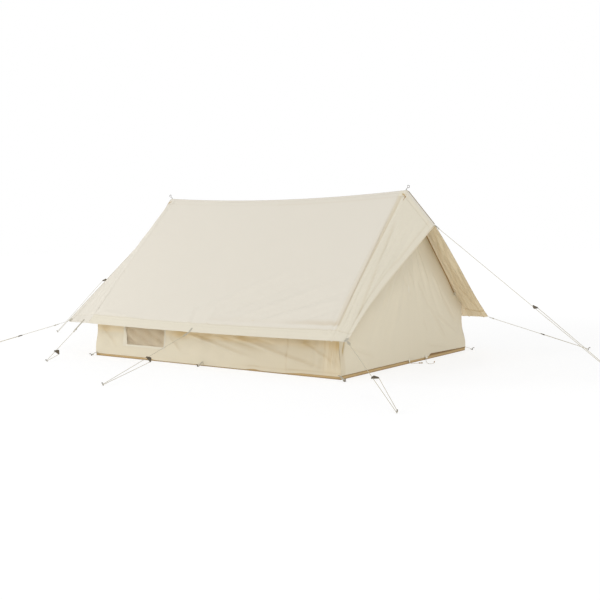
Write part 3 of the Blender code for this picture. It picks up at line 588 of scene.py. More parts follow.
GUY_POINTS = {  # point on the canopy, the peg's distance from it, webbing length
    "near_front": ((CORNER_NEAR, -EAVE_REACH), (0.906, -0.799), 0.035),
    "near_middle": ((-0.090, -EAVE_REACH), (0.106, -1.077), 0.060),
    "near_second": ((-1.467, -EAVE_REACH), (0.021, -0.430), 0.100),
    "near_rear": ((-CORNER_REAR, -EAVE_REACH), (-0.776, -0.799), 0.100),
    "far_front": ((CORNER_FAR, EAVE_REACH), (0.788, 0.486), 0.025),
    "far_middle": ((-0.090, EAVE_REACH), (0.106, 1.077), 0.060),
    "far_second": ((-1.467, EAVE_REACH), (0.021, 0.430), 0.100),
    "far_rear": ((-CORNER_REAR, EAVE_REACH), (-0.776, 0.799), 0.100),
    "front_ridge": ((HOOD_PEAK, 0.0), (1.689, -0.200), 0.022),
    "rear_ridge": ((-HOOD_PEAK, 0.0), (-1.689, 0.088), 0.022),
}
PITCHED = {  # the runner's share of the line, its turn about it
    "near_front": (0.545, 0), "near_middle": (0.485, -50), "near_second": (0.710, -40),
    "near_rear": (0.345, 0), "far_front": (0.545, 0), "front_ridge": (0.545, 0), "rear_ridge": (0.467, 0),
}


class Anchor:
    """The straight line from a point on the cloth to a peg."""

    def __init__(self, start, ground, webbing=None):
        self.start = Vector(start)
        ground = Vector((*ground, 0))
        self.aim(ground)
        self.loop = ground + self.up * PEG_LOOP_HEIGHT
        self.aim(self.loop)
        reach = RING_SIDE + RING_HALF - CORD_RADIUS - 0.8 * PEG_RADIUS
        self.webbing = webbing or (self.loop - self.start).length - reach
        self.bar = self.start + self.out * self.webbing - self.up * WEBBING_TURN
        self.knot = self.bar + self.out * (RING_SIDE + RING_HALF)

    def aim(self, target):
        self.out = (target - self.start).normalized()
        self.across = self.out.cross(Vector((0, 0, 1))).normalized()
        self.up = self.across.cross(self.out).normalized()

    def point(self, origin, out, across=0.0, up=0.0):
        return origin + self.out * out + self.across * across + self.up * up


def guy_anchor(name):
    (x, y), (peg_x, peg_y), webbing = GUY_POINTS[name]
    sewn = Vector((x, y, canopy_height(x, y) - CLOTH * 0.7))
    return Anchor(sewn, (x + peg_x, y + peg_y), webbing)


def dense(line, step):
    """The same line with a point at least every step."""
    points = [line[0]]
    for before, after in zip(line, line[1:]):
        pieces = max(1, ceil((after - before).length / step))
        points += [before.lerp(after, k / pieces) for k in range(1, pieces + 1)]
    return points


def length_of(line):
    return sum((b - a).length for a, b in zip(line, line[1:]))


# %% [markdown]
# A guy line is one 4 mm braided cord. It is held tight, so it runs straight. When its runner slides,
# the return leg follows it, while the long leg stays.

# %% Guy lines
def guy_route(anchor, share, turn):
    wrap = PEG_RADIUS + CORD_RADIUS + 0.0004
    touch_down = anchor.point(anchor.loop, 0.0, wrap)
    leg = (touch_down - anchor.knot).normalized()
    runner = anchor.knot.lerp(touch_down, share)
    back = Matrix.Rotation(radians(turn), 3, leg) @ Vector((0, 0, 1)).cross(leg).normalized()
    end = runner + back * RUNNER_LEG_GAP + leg * SEAM_GAP
    bend = [anchor.point(anchor.loop, wrap * sin(a), wrap * cos(a))
            for a in (radians(18 * step) for step in range(1, 10))]
    turn_back = anchor.point(anchor.loop, 0.0, -wrap)
    return [anchor.knot, touch_down] + bend + [turn_back, end], runner, back, leg


def hitch(anchor):
    """The cord's end: a loop through the webbing, and three turns round the line."""
    loop = []
    for angle in (radians(turn) for turn in span(-180, 180, 24)):
        out = RING_SIDE + RING_HALF * cos(angle)
        loop.append(anchor.point(anchor.bar, max(0.0, out), RING_HALF * sin(angle)))
    coil, reach = [], 2.1 * CORD_RADIUS
    for step in range(3 * KNOT_STEPS + 1):
        angle = TURN * step / KNOT_STEPS
        coil.append(anchor.point(anchor.knot, 0.002 + KNOT_PITCH * step / KNOT_STEPS,
                                 reach * cos(angle), reach * sin(angle)))
    return [loop, coil]


for name, (share, turned_by) in PITCHED.items():
    anchor = guy_anchor(name)
    route, runner_at, back, leg = guy_route(anchor, share, turned_by)
    route = dense(route, 0.03)
    round(length_of(route), 3)
    line = tube(f"guy_cord_{name}", [route], CORD_RADIUS, CORD, None)
    runner_at + back * RUNNER_LEG_IN
    runner_at + back * RUNNER_LEG_GAP
    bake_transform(line)
    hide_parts(f"guy_line_{name}")
    knot = tube(f"guy_knot_{name}", hitch(anchor), CORD_RADIUS * 0.98, CORD, "tent")

# %% [markdown]
# Two ties hang from the door's hem. Each is a thin cord with a waisted wooden toggle on its end,
# and both lie on the ground in front of the door.

# %% Door ties
TIE_RADIUS, TOGGLE_RADIUS, TOGGLE_LENGTH = 0.0015, 0.005, 0.036
TOGGLE_PROFILE = (  # shares of its radius and of half its length, with a waist in the middle
    (0.45, 0), (0.8, 0.06), (1, 0.22), (1, 0.66), (0.85, 0.8), (0.6, 1),
    (0.85, 1.2), (1, 1.34), (1, 1.78), (0.8, 1.94), (0.45, 2),
)
TIES = {  # each cord's points: out from the door, across and up
    "near": ((0.0018, -0.009, 0.0330), (0.0060, -0.008, 0.0120), (0.0240, -0.001, 0.0019),
             (0.0400, 0.014, 0.0018), (0.0560, 0.030, 0.0019), (0.0680, 0.040, 0.0053)),
    "far": ((0.0018, 0.285, 0.0330), (0.0080, 0.275, 0.0110), (0.0380, 0.225, 0.0018),
            (0.0780, 0.160, 0.0018), (0.1200, 0.100, 0.0018), (0.1500, 0.072, 0.0018),
            (0.1740, 0.078, 0.0018), (0.1760, 0.108, 0.0018), (0.1640, 0.138, 0.0019),
            (0.1560, 0.156, 0.0053)),
}


def smooth_route(points, per_span=6):
    padded = [2 * points[0] - points[1]] + points + [2 * points[-1] - points[-2]]
    route = []
    for a, b, c, d in zip(padded, padded[1:], padded[2:], padded[3:]):
        for step in range(per_span):
            t = step / per_span
            route.append(0.5 * (2 * b + (c - a) * t + (2 * a - 5 * b + 4 * c - d) * t * t
                                + (3 * b - a - 3 * c + d) * t ** 3))
    return route + [points[-1]]


def turned_piece(name, profile, place, steps, look, body):
    """A shape turned about its own Z from radius and height pairs."""
    points = [place @ Vector((radius * cos(angle), radius * sin(angle), height))
              for radius, height in profile
              for angle in (TURN * step / steps for step in range(steps))]
    return new_object(name, mesh_of(name, points, ring_faces(len(profile), steps)), [look], body)


for word, spots in TIES.items():
    route = smooth_route([Vector((BASE_HALF_LENGTH + out, across, up)) for out, across, up in spots])
    heading = route[-1] - route[-2]
    heading.z = 0
    heading.normalize()
    seat = route[-1] + heading * TOUCH
    seat.z = TOGGLE_RADIUS + TOUCH
    route.append(seat + heading * TOGGLE_RADIUS * 0.5)
    place = Matrix.Translation(seat) @ heading.to_track_quat("Z", "Y").to_matrix().to_4x4()
    profile = [(wide * TOGGLE_RADIUS, up * TOGGLE_LENGTH / 2) for wide, up in TOGGLE_PROFILE]
    toggle = turned_piece(f"door_toggle_{word}", profile, place, 20, WOOD, f"front_door_{word}")
    tie = tube(f"door_cord_{word}", [route], TIE_RADIUS, CORD, f"front_door_{word}")
    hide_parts(f"door_tie_{word}")
    round(length_of(route), 3)

# %% [markdown]
# The stage is a pale floor and a white world. The lamps are soft and level, so that a colour on the
# tent is seen about as it is written. Rays from the camera, and those that gloss or glass send on,
# see plain white beyond the tent; the floor keeps a soft shadow under it.

# %% Stage and light
FLOOR_GLOW, WORLD_LEVEL, SHADOW_SHARE, SHADOW_REACH = 1.03, 0.65, 0.30, (3.2, 7.0)
FLOOR_HALF, FLOOR_DROP, WHITE = 30, 0.0005, (1, 1, 1, 1)
LAMPS = {  # place, target, width, power
    "side_light": ((-7.0, -4.5, 3.6), (0, -0.5, 0.4), 3.0, 175),
    "front_light": ((-1.5, -9.0, 3.4), (0, 0, 0.3), 1.6, 120),
    "high_door_light": ((6.0, -3.5, 6.5), (1.0, 0, 0.5), 2.0, 95),
    "low_door_light": ((7.5, -1.6, 0.7), (1.4, 0, 0.6), 3.0, 60),
    "back_light": ((-2.0, 8.0, 5.0), (0, 0, 0.3), 4.0, 110),
    "cloth_glow": ((0.0, 0.0, 0.75), (0, 0, 0), 0.5, 3.0),
}


def seen_rays(tree):
    """1 for rays from the camera and for those that gloss or glass send on."""
    camera_ray, glossy, through = (node(tree, "ShaderNodeLightPath", None, None, output)
                                   for output in (0, 4, 6))
    return camera_ray + glossy + through


def stage_floor():
    corners = [(x * FLOOR_HALF, y * FLOOR_HALF, 0) for x, y in ((-1, -1), (1, -1), (1, 1), (-1, 1))]
    made, tree, shader = finish_of("floor_paper", Roughness=1.0)
    shader.inputs["Base Color"].default_value = WHITE
    rays = seen_rays(tree)
    white = node(tree, "ShaderNodeEmission", None, {"Color": WHITE, "Strength": FLOOR_GLOW})
    place = node(tree, "ShaderNodeTexCoord", None, None, 3)
    far = node(tree, "ShaderNodeVectorMath", {"operation": "LENGTH"}, {0: place}, 1)
    near, gone = SHADOW_REACH
    fade = node(tree, "ShaderNodeMapRange", {"interpolation_type": "SMOOTHSTEP"},
                {0: far, 1: near, 2: gone})
    seen = rays * (1 - SHADOW_SHARE + SHADOW_SHARE * fade)
    blend = node(tree, "ShaderNodeMixShader", None, {0: seen, 1: Wire(shader.outputs[0]), 2: white})
    tree.links.new(blend.socket, tree.nodes["Material Output"].inputs[0])
    floor = added("floor", mesh_of("floor", corners, [(0, 1, 2, 3)]))
    floor.location.z = -FLOOR_DROP
    floor.data.materials.append(made)
    floor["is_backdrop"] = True


def world_light():
    world = bpy.data.worlds.new("studio")
    world.use_nodes = True
    bpy.context.scene.world = world
    tree = world.node_tree
    tree.nodes.clear()
    rays = seen_rays(tree)
    light, white = (node(tree, "ShaderNodeBackground", None, {0: WHITE, 1: level})
                    for level in (WORLD_LEVEL, 1.0))
    both = node(tree, "ShaderNodeMixShader", None, {0: rays, 1: light, 2: white})
    end = tree.nodes.new("ShaderNodeOutputWorld")
    tree.links.new(both.socket, end.inputs[0])


stage_floor()
world_light()
for name, (place, target, width, power) in LAMPS.items():
    data = bpy.data.lights.new(name, "AREA")
    data.shape, data.size, data.energy = "DISK", width, power
    lamp = added(name, data)
    lamp.location = place
    lamp.rotation_euler = (Vector(target) - Vector(place)).to_track_quat("-Z", "Y").to_euler()
    lamp.visible_camera = False
bpy.context.scene.view_settings.view_transform = "Standard"
print("lamps:", ", ".join(LAMPS))

# %% [markdown]
# Canvas that is pulled at a point folds: fine ridges fan out from the point and die away. `fan`
# gives the height of such folds at a distance along and down from the pulled point, `crease` one
# soft fold along a line, and `groove` the V that a row of stitches pulls into the cloth. The roof
# has fans at its tabs and long creases that rise from the eave to the front pole.

# %% Folds and sewn lines
HEM_FROM, EAVE_STITCH, HEM_STITCH, RIDGE_STITCH = 1.078, 1.100, 1.136, 0.046
ROOF_CREASES = (  # start and end as x and share of the slope, width, height
    ((0.20, 0.930), (1.22, 0.600), 0.015, 0.0135), ((0.48, 0.900), (1.28, 0.690), 0.012, -0.0120),
    ((0.62, 0.890), (1.32, 0.740), 0.012, 0.0125), ((0.90, 0.900), (1.30, 0.800), 0.010, -0.0105),
    ((-0.10, 0.930), (0.95, 0.560), 0.022, -0.0120), ((-0.30, 0.920), (0.60, 0.540), 0.022, 0.0100),
    ((-0.16, 0.960), (-0.22, 0.800), 0.013, 0.0085), ((0.05, 0.960), (0.02, 0.790), 0.013, 0.0085),
    ((-1.34, 0.900), (-0.70, 0.950), 0.014, 0.0050), ((1.33, 0.450), (1.30, 0.900), 0.020, -0.0060),
)
FANS = (  # where along the eave, reach, number of folds, height, lean
    (SEAM_AT_EAVE, 0.42, 11, 0.004, 0.4), (-SEAM_AT_EAVE, 0.40, 9, 0.003, 1.9),
    (-0.09, 0.20, 8, 0.003, 0.0), (-1.467, 0.22, 7, 0.002, 0.0),
)
HOOD_CREASES = (  # start and end as shares of the way from the pole's line to the edge and to the eave
    ((0.14, 0.08), (0.52, 0.98), 0.050, 0.0130), ((0.40, 0.05), (0.72, 0.85), 0.050, -0.0120),
    ((0.05, 0.35), (0.25, 0.97), 0.040, -0.0090), ((0.26, 0.12), (0.44, 0.90), 0.040, -0.0100),
    ((0.62, 0.05), (0.80, 0.60), 0.050, 0.0100), ((0.08, 0.20), (0.27, 0.50), 0.030, -0.0070),
    ((0.25, 0.46), (0.76, 0.84), 0.030, -0.0080),
)
FAR_CREASES = (  # on the far front hood, start and end as x and y, width, height
    ((1.530, 0.200), (1.400, 0.560), 0.018, 0.0060), ((1.565, 0.300), (1.450, 0.700), 0.016, -0.0050),
    ((1.452, 0.560), (1.423, 0.860), 0.014, 0.0050), ((1.415, 0.820), (1.548, 1.060), 0.010, 0.0060),
)
SEAM_BAND = ((1.315, 1.340), (1.362, 1.385))  # inner and outer edge of the doubled cloth: above, below
EAVE_BAND, HOOD_HEM, FAR_LINE = 1.050, 0.045, 1.075


def fan(along, down, reach, folds, height, lean):
    """Height of folds that fan out from (0, 0)."""
    far = hypot(along, down)
    if far < 1e-6:
        return 0.0
    angle = atan2(along, down)
    rise = smooth(0.0, 0.12, far) * exp(-far / reach)
    return height * rise * cos(folds * angle + lean)


def crease(along, down, start, end, width, height):
    """One soft fold along a straight line from start to end."""
    line = Vector(end) - Vector(start)
    point = Vector((along, down)) - Vector(start)
    share = point.dot(line) / line.length_squared
    off = (point - line * share).length
    return height * exp(-(off / width) ** 2) * smooth(-0.05, 0.25, share) * smooth(1.1, 0.7, share)


def creases(along, down, table, made=0.0):
    """Every fold of a table, on top of what is made."""
    return sum((crease(along, down, *fold) for fold in table), made)


def traces(along, down, table, narrow, strength, made):
    """The same folds as lines of painted shade."""
    return sum((crease(along, down, start, end, narrow * width, strength)
                for start, end, width, _ in table), made)


def groove(off, depth, width):
    return -depth * exp(-(off / width) ** 2)


def seam_band(part):
    """The band of doubled cloth beside a hood's seam runs from low to high."""
    low, high = SEAM_BAND
    return lerp(*low, smooth(0.70, 0.95, part)), lerp(*high, smooth(0.55, 0.95, part))


def canopy_painted_shade(x, y):
    """Painted shade, as tan: along the seams and hems, on the doubled cloth at the front, along the top of
    the eave's band, in the hood's creases and on the far front hood.
    """
    part = abs(y) / EAVE_REACH
    low, high = seam_band(part)
    out, _ = hood_edge(x, y)
    inside = out - abs(x)
    line = 0.13 if x > 0 else 0.06
    made = -groove(abs(y) - HEM_FROM, line, 0.004) - groove(abs(y) - RIDGE_STITCH, 0.5 * line, 0.008)
    if x > 0:
        doubled = lerp(0.08, 0.24, (x - low) / (high - low))
        made += (doubled * smooth(low - 0.004, low + 0.003, x) * smooth(high + 0.006, high, x)
                 * smooth(1.058, 1.042, abs(y)))
        made += (lerp(0.04, 0.26, smooth(0.70, 1.33, x)) * smooth(-0.048, -0.010, abs(y) - EAVE_BAND)
                 * smooth(0.002, -0.005, abs(y) - EAVE_BAND) * smooth(high, low, x))
    if abs(x) > high and x > 0:
        made += 0.22 * smooth(0.012, 0.003, inside) - groove(inside - HOOD_HEM, 0.09, 0.006)
        share = (abs(x) - RIDGE_END) / (out - RIDGE_END)
        made = traces(share, part, HOOD_CREASES[-2:], 1.0, 0.14, made)
        if y > 0:
            made += 0.30 * smooth(0.35, 0.80, part)
            made -= groove(inside - HOOD_HEM, 0.16, 0.006) + groove(abs(y) - FAR_LINE, 0.30, 0.006)
            made = traces(x, y, FAR_CREASES, 0.6, 0.32, made)
    return made


def sewn_lines(x, y):
    """The hood seam, the eave's band and the hems, as grooves in the canopy."""
    part = abs(y) / EAVE_REACH
    past_seam = abs(x) - seam_x(part)
    front = 1.0 if x > 0 else 0.0
    low, high = seam_band(part)
    made = (groove(abs(x) - high - 0.002, 0.0060 * front, 0.0070)
            + groove(abs(x) - low, 0.0025 * front, 0.006))
    made += groove(abs(y) - HEM_FROM, 0.0045, 0.006) + groove(abs(y) - EAVE_STITCH, 0.0020, 0.005)
    made += groove(abs(y) - HEM_STITCH, 0.0025, 0.005)
    if past_seam > 0.02:
        out, _ = hood_edge(x, y)
        made += groove(out - abs(x) - HOOD_HEM, 0.0045, 0.006)
        made += groove(abs(y) - RIDGE_STITCH, 0.0050, 0.006) * smooth(0.02, 0.05, past_seam)
    return made * smooth(0.024, 0.040, abs(y))


def roof_folds(x, y):
    """Relief of the roof on top of its sag, nought at the ridge and along its sewn edges."""
    part = abs(y) / EAVE_REACH
    down = (1 - part) * EAVE_REACH
    made = creases(x, part, ROOF_CREASES, sum(fan(x - at, down, *folds) for at, *folds in FANS))
    made += 0.0022 * sin(5.1 * x + 3.0 * part) * sin(pi * part)
    return made * smooth(0.02, 0.14, part) * lerp(0.35, 1.0, smooth(0.0, 0.06, down))


def roof_point(x, y):
    return Vector((x, y, canopy_height(x, y) + roof_folds(x, y) + sewn_lines(x, y)))


def hood_folds(x, y):
    """Soft folds that run down the hood, away from its seam and its free edge."""
    part = abs(y) / EAVE_REACH
    out, _ = hood_edge(x, y)
    share = (abs(x) - RIDGE_END) / (out - RIDGE_END)
    edge = smooth(-0.30, 0.25, share) * smooth(1.02, 0.8, share)
    folds = (0.0040 * sin(9.0 * part + 2.2 * share + 0.8)
             + 0.0022 * sin(21.0 * part - 3.0 * share))
    folds = creases(share, part, HOOD_CREASES, folds)
    if x > 0 and y > 0:
        folds = creases(x, y, FAR_CREASES, folds)
    return folds * edge * smooth(0.03, 0.2, part)


def hood_point(x, y):
    return Vector((x, y, canopy_height(x, y) + hood_folds(x, y) + sewn_lines(x, y)))


def canopy_point(x, y):
    """The seen outer face of the canopy, whichever panel it is."""
    within = abs(x) < seam_x(abs(y) / EAVE_REACH)
    return roof_point(x, y) if within else hood_point(x, y)


# %% [markdown]
# Every seam and hem shows its stitches: small raised dashes of thread, a little darker than the
# cloth, along lines of the canopy. `stitches` gives one row of them.

# %% Stitches
STITCH_PITCH, STITCH_LENGTH, THREAD_HALF, STITCH_LIFT = 0.008, 0.0045, 0.0005, 0.0004
DASH_FACES = ((0, 1, 6), (1, 2, 7, 6), (2, 3, 7), (3, 4, 7), (4, 5, 6, 7), (5, 0, 6), (5, 4, 3, 2, 1, 0))


def stitches(line):
    """The corners of the dashes along a line of x and y, eight for each."""
    points, travelled, following = [], 0.0, STITCH_PITCH / 2
    run = [canopy_point(*Vector(spot)) + Vector((0, 0, STITCH_LIFT)) for spot in line]
    for a, b in zip(run, run[1:]):
        step = (b - a).length
        while following < travelled + step:
            way = (b - a).normalized()
            centre = a + way * (following - travelled)
            side = way.cross(Vector((0, 0, 1))).normalized() * THREAD_HALF
            half, rise = way * STITCH_LENGTH / 2, Vector((0, 0, THREAD_HALF))
            points += [centre - half, centre - half * 0.5 + side, centre + half * 0.5 + side,
                       centre + half, centre + half * 0.5 - side, centre - half * 0.5 - side,
                       centre + rise - half * 0.4, centre + rise + half * 0.4]
            following += STITCH_PITCH
        travelled += step
    return points


# %% [markdown]
# Each side of the roof is one continuous panel of the greyer canvas, from the ridge to the eave,
# with a hem band of the warmer canvas along its lower edge. Its flat cut is a rectangle, as long as
# the surface from the ridge to the eave.

# %% Roof panels
SLOPE_ROWS = ([RIDGE_SLOT, 0.012, 0.020, 0.028] + span(0.034, 0.060, 6) + span(0.072, 1.056, 72)
              + span(1.062, 1.108, 12) + span(1.116, EAVE_REACH, 9))


def fine_at_ends(low, high, count, margin=0.075):
    """Places from low to high, closer together beside both ends."""
    return (span(low, low + margin, 16)[:-1] + span(low + margin, high - margin, count)
            + span(high - margin, high, 16)[1:])


slope = length_of([roof_point(0.0, y) for y in span(RIDGE_SLOT, EAVE_REACH, 40)])
for word, side in SIDES:
    rows = []
    for y in SLOPE_ROWS:
        reach = seam_x(y / EAVE_REACH) - SEAM_GAP / 2
        rows.append([roof_point(x, side * y) for x in fine_at_ends(-reach, reach, 130)])
    roof = cloth(f"roof_canvas_{word}", rows, (0, side, 1), CANVAS_ROOF, inner=CANVAS_INNER)
    # Painted shade along the roof's seams, hems and creases.
    painted_light_layer(roof, lambda at: canopy_painted_shade(at.x, at.y))
    for look in (CANVAS_HOOD, CANVAS_INNER):
        roof.data.materials.append(look)
    for face in roof.data.polygons:
        if abs(face.center.y) > HEM_FROM:
            face.material_index = 2
    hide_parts(f"roof_panel_{word}")

# %% [markdown]
# The four hoods carry the roof past the poles. Each is cut as a tapering piece, sewn to the roof
# panel beside the pole, and hangs in soft folds from the ridge to the eave. Their free edges have a
# narrow hem.

# %% Hoods
HOOD_LOOKS, hood_flats = {1: CANVAS_HOOD, -1: CANVAS_ROOF}, {}
for place, end in ENDS:
    for word, side in SIDES:
        rows = []
        for y in SLOPE_ROWS:
            out, _ = hood_edge(end, side * y)
            seam = seam_x(y / EAVE_REACH) + SEAM_GAP / 2
            places = (span(seam, seam + 0.030, 8)[:-1] + span(seam + 0.030, out - 0.060, 18)
                      + span(out - 0.060, out, 13)[1:])
            rows.append([hood_point(end * x, side * y) for x in places])
        hood = cloth(f"hood_{place}_{word}", rows, (end, side, 1), HOOD_LOOKS[end],
                     inner=CANVAS_INNER)
        # Painted shade along the hood's seams, hems and creases.
        painted_light_layer(hood, lambda at: canopy_painted_shade(at.x, at.y))
        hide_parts(f"{place}_hood_{word}")
        area = sum(face.area for face in hood.data.polygons)
        wide, deep = max(length_of(row) for row in rows), length_of([row[-1] for row in rows])
        flat = (round(wide, 3), round(deep, 3))
        hood_flats[f"{place}_{word}"] = (*flat, round(area, 3))
print("hoods, flat:", hood_flats)

# %% [markdown]
# The ridge is bound with webbing that runs on down both hoods to their peaks.

# %% Ridge tape
TAPE_HALF, TAPE_LIFT = 0.018, 0.001
TAPE_TOP = TAPE_LIFT + WEBBING_THICK

hood_x = span(RIDGE_END, HOOD_PEAK, 12)[1:]
tape_x = [-x for x in reversed(hood_x)] + span(-RIDGE_END, RIDGE_END, 90) + hood_x
tape_rows = grid(span(-TAPE_HALF, TAPE_HALF, 8), tape_x,
                 lambda y, x: Vector((x, y, canopy_height(x, y) + TAPE_TOP)))
tape = cloth("ridge_webbing", tape_rows, (0, 0, 1), CANVAS_ROOF, thickness=WEBBING_THICK)
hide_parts("ridge_tape")
tape_flat = (2 * TAPE_HALF, round(length_of(tape_rows[4]), 3))
print("ridge webbing, flat:", tape_flat)

# %% [markdown]
# A round piping runs down each hood's ridge, from the pole's spike to the peak. Where the spike comes
# through, the canvas is doubled by a patch on each slope, sewn on all round.

# %% Piping and ridge patches
PIPING_RADIUS, RIDGE_PATCH_THICK = 0.0026, 0.0012
PATCH_X, PATCH_Y, PATCH_SEAM = (1.322, 1.396), (0.0048, 0.050), ((1.350, 0.026), (1.397, 0.049))
for place, end in ENDS:
    line = [Vector((end * x, 0, canopy_height(x, 0) + TAPE_TOP + PIPING_RADIUS * 0.9))
            for x in span(RIDGE_END + 0.012, HOOD_PEAK - 0.004, 24)]
    tube(f"ridge_piping_{place}", [line], PIPING_RADIUS, PIPING, "tent", 10)
    for word, side in SIDES:
        rows = grid(span(*PATCH_Y, 16), span(*PATCH_X, 24), lambda y, x: canopy_point(end * x, side * y)
                    + Vector((0, 0, 0.0042 - 0.0012 * smooth(0.01, 0.03, y))))
        patch = cloth(f"ridge_patch_{place}_{word}", rows, (0, side, 1), HOOD_LOOKS[end],
                      thickness=RIDGE_PATCH_THICK)
        # Painted shade: a tan line along the patch's seam.
        painted_light_layer(patch, lambda at: crease(abs(at.x), abs(at.y), *PATCH_SEAM, 0.004, 1.0))

# %% [markdown]
# The side walls hang from the roof and are pegged at the hem, where they splay out over the
# groundsheet's upstand. Each has one window.

# %% Side walls
WALL_TOP_SET_BACK, WALL_TOP_HALF_WIDTH = {1: 0.028, -1: 0.012}, 1.030
WALL_SPLAY_FROM, WALL_SPLAY_TO, WALL_FOLD, UNDER_ROOF = 0.070, 0.250, 0.006, 0.0045
WINDOW_ROWS_TO = 0.262  # the highest level row of the wall; over it the rows close up to the roof
WALL_HEM, WALL_HEM_DROP, WALL_HEM_LIFT, WALL_HEM_LIFT_X = 0.022, 0.014, 0.010, 0.525
WINDOW_FROM, WINDOW_TO, WINDOW_LOW, WINDOW_HIGH = -1.020, -0.510, 0.128, 0.362
WALL_SEAM_X = 0.870
WALL_CREASES = (  # start and end as x and height, width, height of the fold
    ((0.12, 0.310), (1.34, 0.045), 0.014, 0.0130), ((-0.42, 0.310), (0.50, 0.110), 0.013, 0.0110),
    ((-0.36, 0.300), (0.10, 0.215), 0.010, -0.0080), ((0.30, 0.300), (0.80, 0.205), 0.012, -0.0090),
    ((-0.10, 0.310), (0.62, 0.160), 0.014, -0.0100), ((0.95, 0.300), (1.34, 0.120), 0.011, 0.0090),
    ((-1.37, 0.300), (-1.10, 0.090), 0.010, 0.0070), ((-0.46, 0.230), (-0.30, 0.100), 0.010, 0.0075),
    ((1.280, 0.330), (1.284, 0.050), 0.010, 0.0110), ((1.327, 0.330), (1.330, 0.050), 0.009, 0.0120),
    ((1.364, 0.300), (1.372, 0.060), 0.007, 0.0100),
)
PLEATS = (1.232, 1.302, 1.349, 1.386)


def splay(height):
    return 1.0 - smooth(WALL_SPLAY_FROM, WALL_SPLAY_TO, height)


def wall_y(x, height):
    lean = lerp(WALL_TOP_HALF_WIDTH, BASE_HALF_WIDTH, splay(height))
    hung = smooth(WALL_SPLAY_FROM, WALL_SPLAY_TO, height) * smooth(-0.40, 0.0, x)
    taper = smooth(BASE_HALF_LENGTH, BASE_HALF_LENGTH - 0.15, abs(x))
    return lean + WALL_FOLD * hung * taper * sin(TURN * x / 0.7)


def corner_x(height, end):
    return BASE_HALF_LENGTH - WALL_TOP_SET_BACK[end] * (1.0 - splay(height))


def wall_hem(x):
    middle = smooth(-0.72, -0.60, x) * (1.0 - smooth(0.80, 1.05, x))
    lift = smooth(0.10, 0.0, abs(x - WALL_HEM_LIFT_X))
    return WALL_HEM - WALL_HEM_DROP * middle + WALL_HEM_LIFT * lift


def wall_top(x):
    """Just under the roof as it is seen, grooves and folds included."""
    y = wall_y(x, 1.0)
    return min(canopy_height(x, y), canopy_point(x, y).z, canopy_point(x, -y).z) - UNDER_ROOF


def wall_folds(x, height):
    """Diagonal folds of the wall, away from its edges and from the window."""
    ends = smooth(1.400, 1.380, abs(x))
    sides = smooth(WALL_HEM, 0.07, height)
    clear = smooth(-0.50, -0.42, x) + smooth(-1.03, -1.10, x)
    made = 0.0035 * sin(14 * x + 16 * height) + 0.0025 * sin(31 * x - 22 * height + 1.0)
    made = creases(x, height, WALL_CREASES, made)
    made += 0.0045 * sin(75 * (x - 1.16)) * smooth(1.05, 1.15, x) * smooth(1.28, 1.22, x)
    made += groove(x - WALL_SEAM_X, 0.0055, 0.007)
    if made < 0:
        made *= smooth(0.064, 0.110, height)
    return made * ends * sides * min(1.0, clear)


def wall_painted_shade(x, height):
    """Painted shade, as tan: in the creases, under the eave, along the seam and the hem, in the corner's
    pleats, and more towards the front.
    """
    made = 0.15 * smooth(-0.4, 1.3, x) + 0.14 * smooth(0.210, 0.262, height) * smooth(1.46, 1.36, x)
    for start, end, width, rise in WALL_CREASES:
        made += crease(x, height - 0.006, start, end, 0.5 * width + 0.003, 0.24 if rise < 0 else 0.17)
        made += 0.20 * exp(-((x - start[0] - 0.10) / 0.07) ** 2) * smooth(0.19, 0.25, height)
    made -= groove(x - WALL_SEAM_X, 0.22, 0.005) + groove(height - 0.043, 0.22, 0.004) * smooth(0.2, 0.6, x)
    for x_low in PLEATS:
        made += crease(x, height, (x_low, 0.330), (x_low + 0.004, 0.050), 0.006, 0.22)
    return made + 0.40 * smooth(1.378, 1.388, x) * smooth(0.14, 0.21, height)


def wall_lit(x, height):
    """Painted light, as a glow: light that falls through the roof, and between the pleats of the front
    corner.
    """
    return (smooth(0.215, 0.258, height) * lerp(0.85, 0.35, smooth(0.45, 0.95, x))
            + 0.45 * smooth(1.18, 1.30, x))


def wall_point(x, height, side):
    return Vector((x, side * (wall_y(x, height) + wall_folds(x, height)), height))


def wall_x(place, height):
    """The window keeps its width; the rest of a row shares the wall's length."""
    x = place * BASE_HALF_LENGTH
    if WINDOW_FROM - 1e-6 <= x <= WINDOW_TO + 1e-6:
        return x
    return place * corner_x(height, 1 if place > 0 else -1)


def wall_rows(side):
    """Rows from the hem up to the window, beside it, and over it to the roof."""
    left, right = WINDOW_FROM / BASE_HALF_LENGTH, WINDOW_TO / BASE_HALF_LENGTH
    places = span(-1.0, left, 22)[:-1] + span(left, right, 24)[:-1] + span(right, 1.0, 150)
    low_x, top_x = ([wall_x(place, height) for place in places] for height in (0.03, 1.0))
    heights = span(WALL_SPLAY_FROM, WINDOW_LOW, 5) + span(WINDOW_LOW, WINDOW_ROWS_TO, 12)[1:]

    def upper(share, x):
        framed = WINDOW_FROM - 0.001 <= x <= WINDOW_TO + 0.001
        return wall_point(x, lerp(heights[-1], WINDOW_HIGH if framed else wall_top(x), share), side)

    rows = grid((0.0, 0.12, 0.3, 0.5, 0.75), low_x,
                lambda share, x: wall_point(x, lerp(wall_hem(x), WALL_SPLAY_FROM, share), side))
    rows += grid(heights, places, lambda height, place: wall_point(wall_x(place, height), height, side))
    rows += grid((0.2, 0.4, 0.6, 0.8, 1.0), top_x, upper)
    return rows + [[Vector((x, side * wall_y(x, 1.0), wall_top(x) + 0.0001)) for x in top_x]]


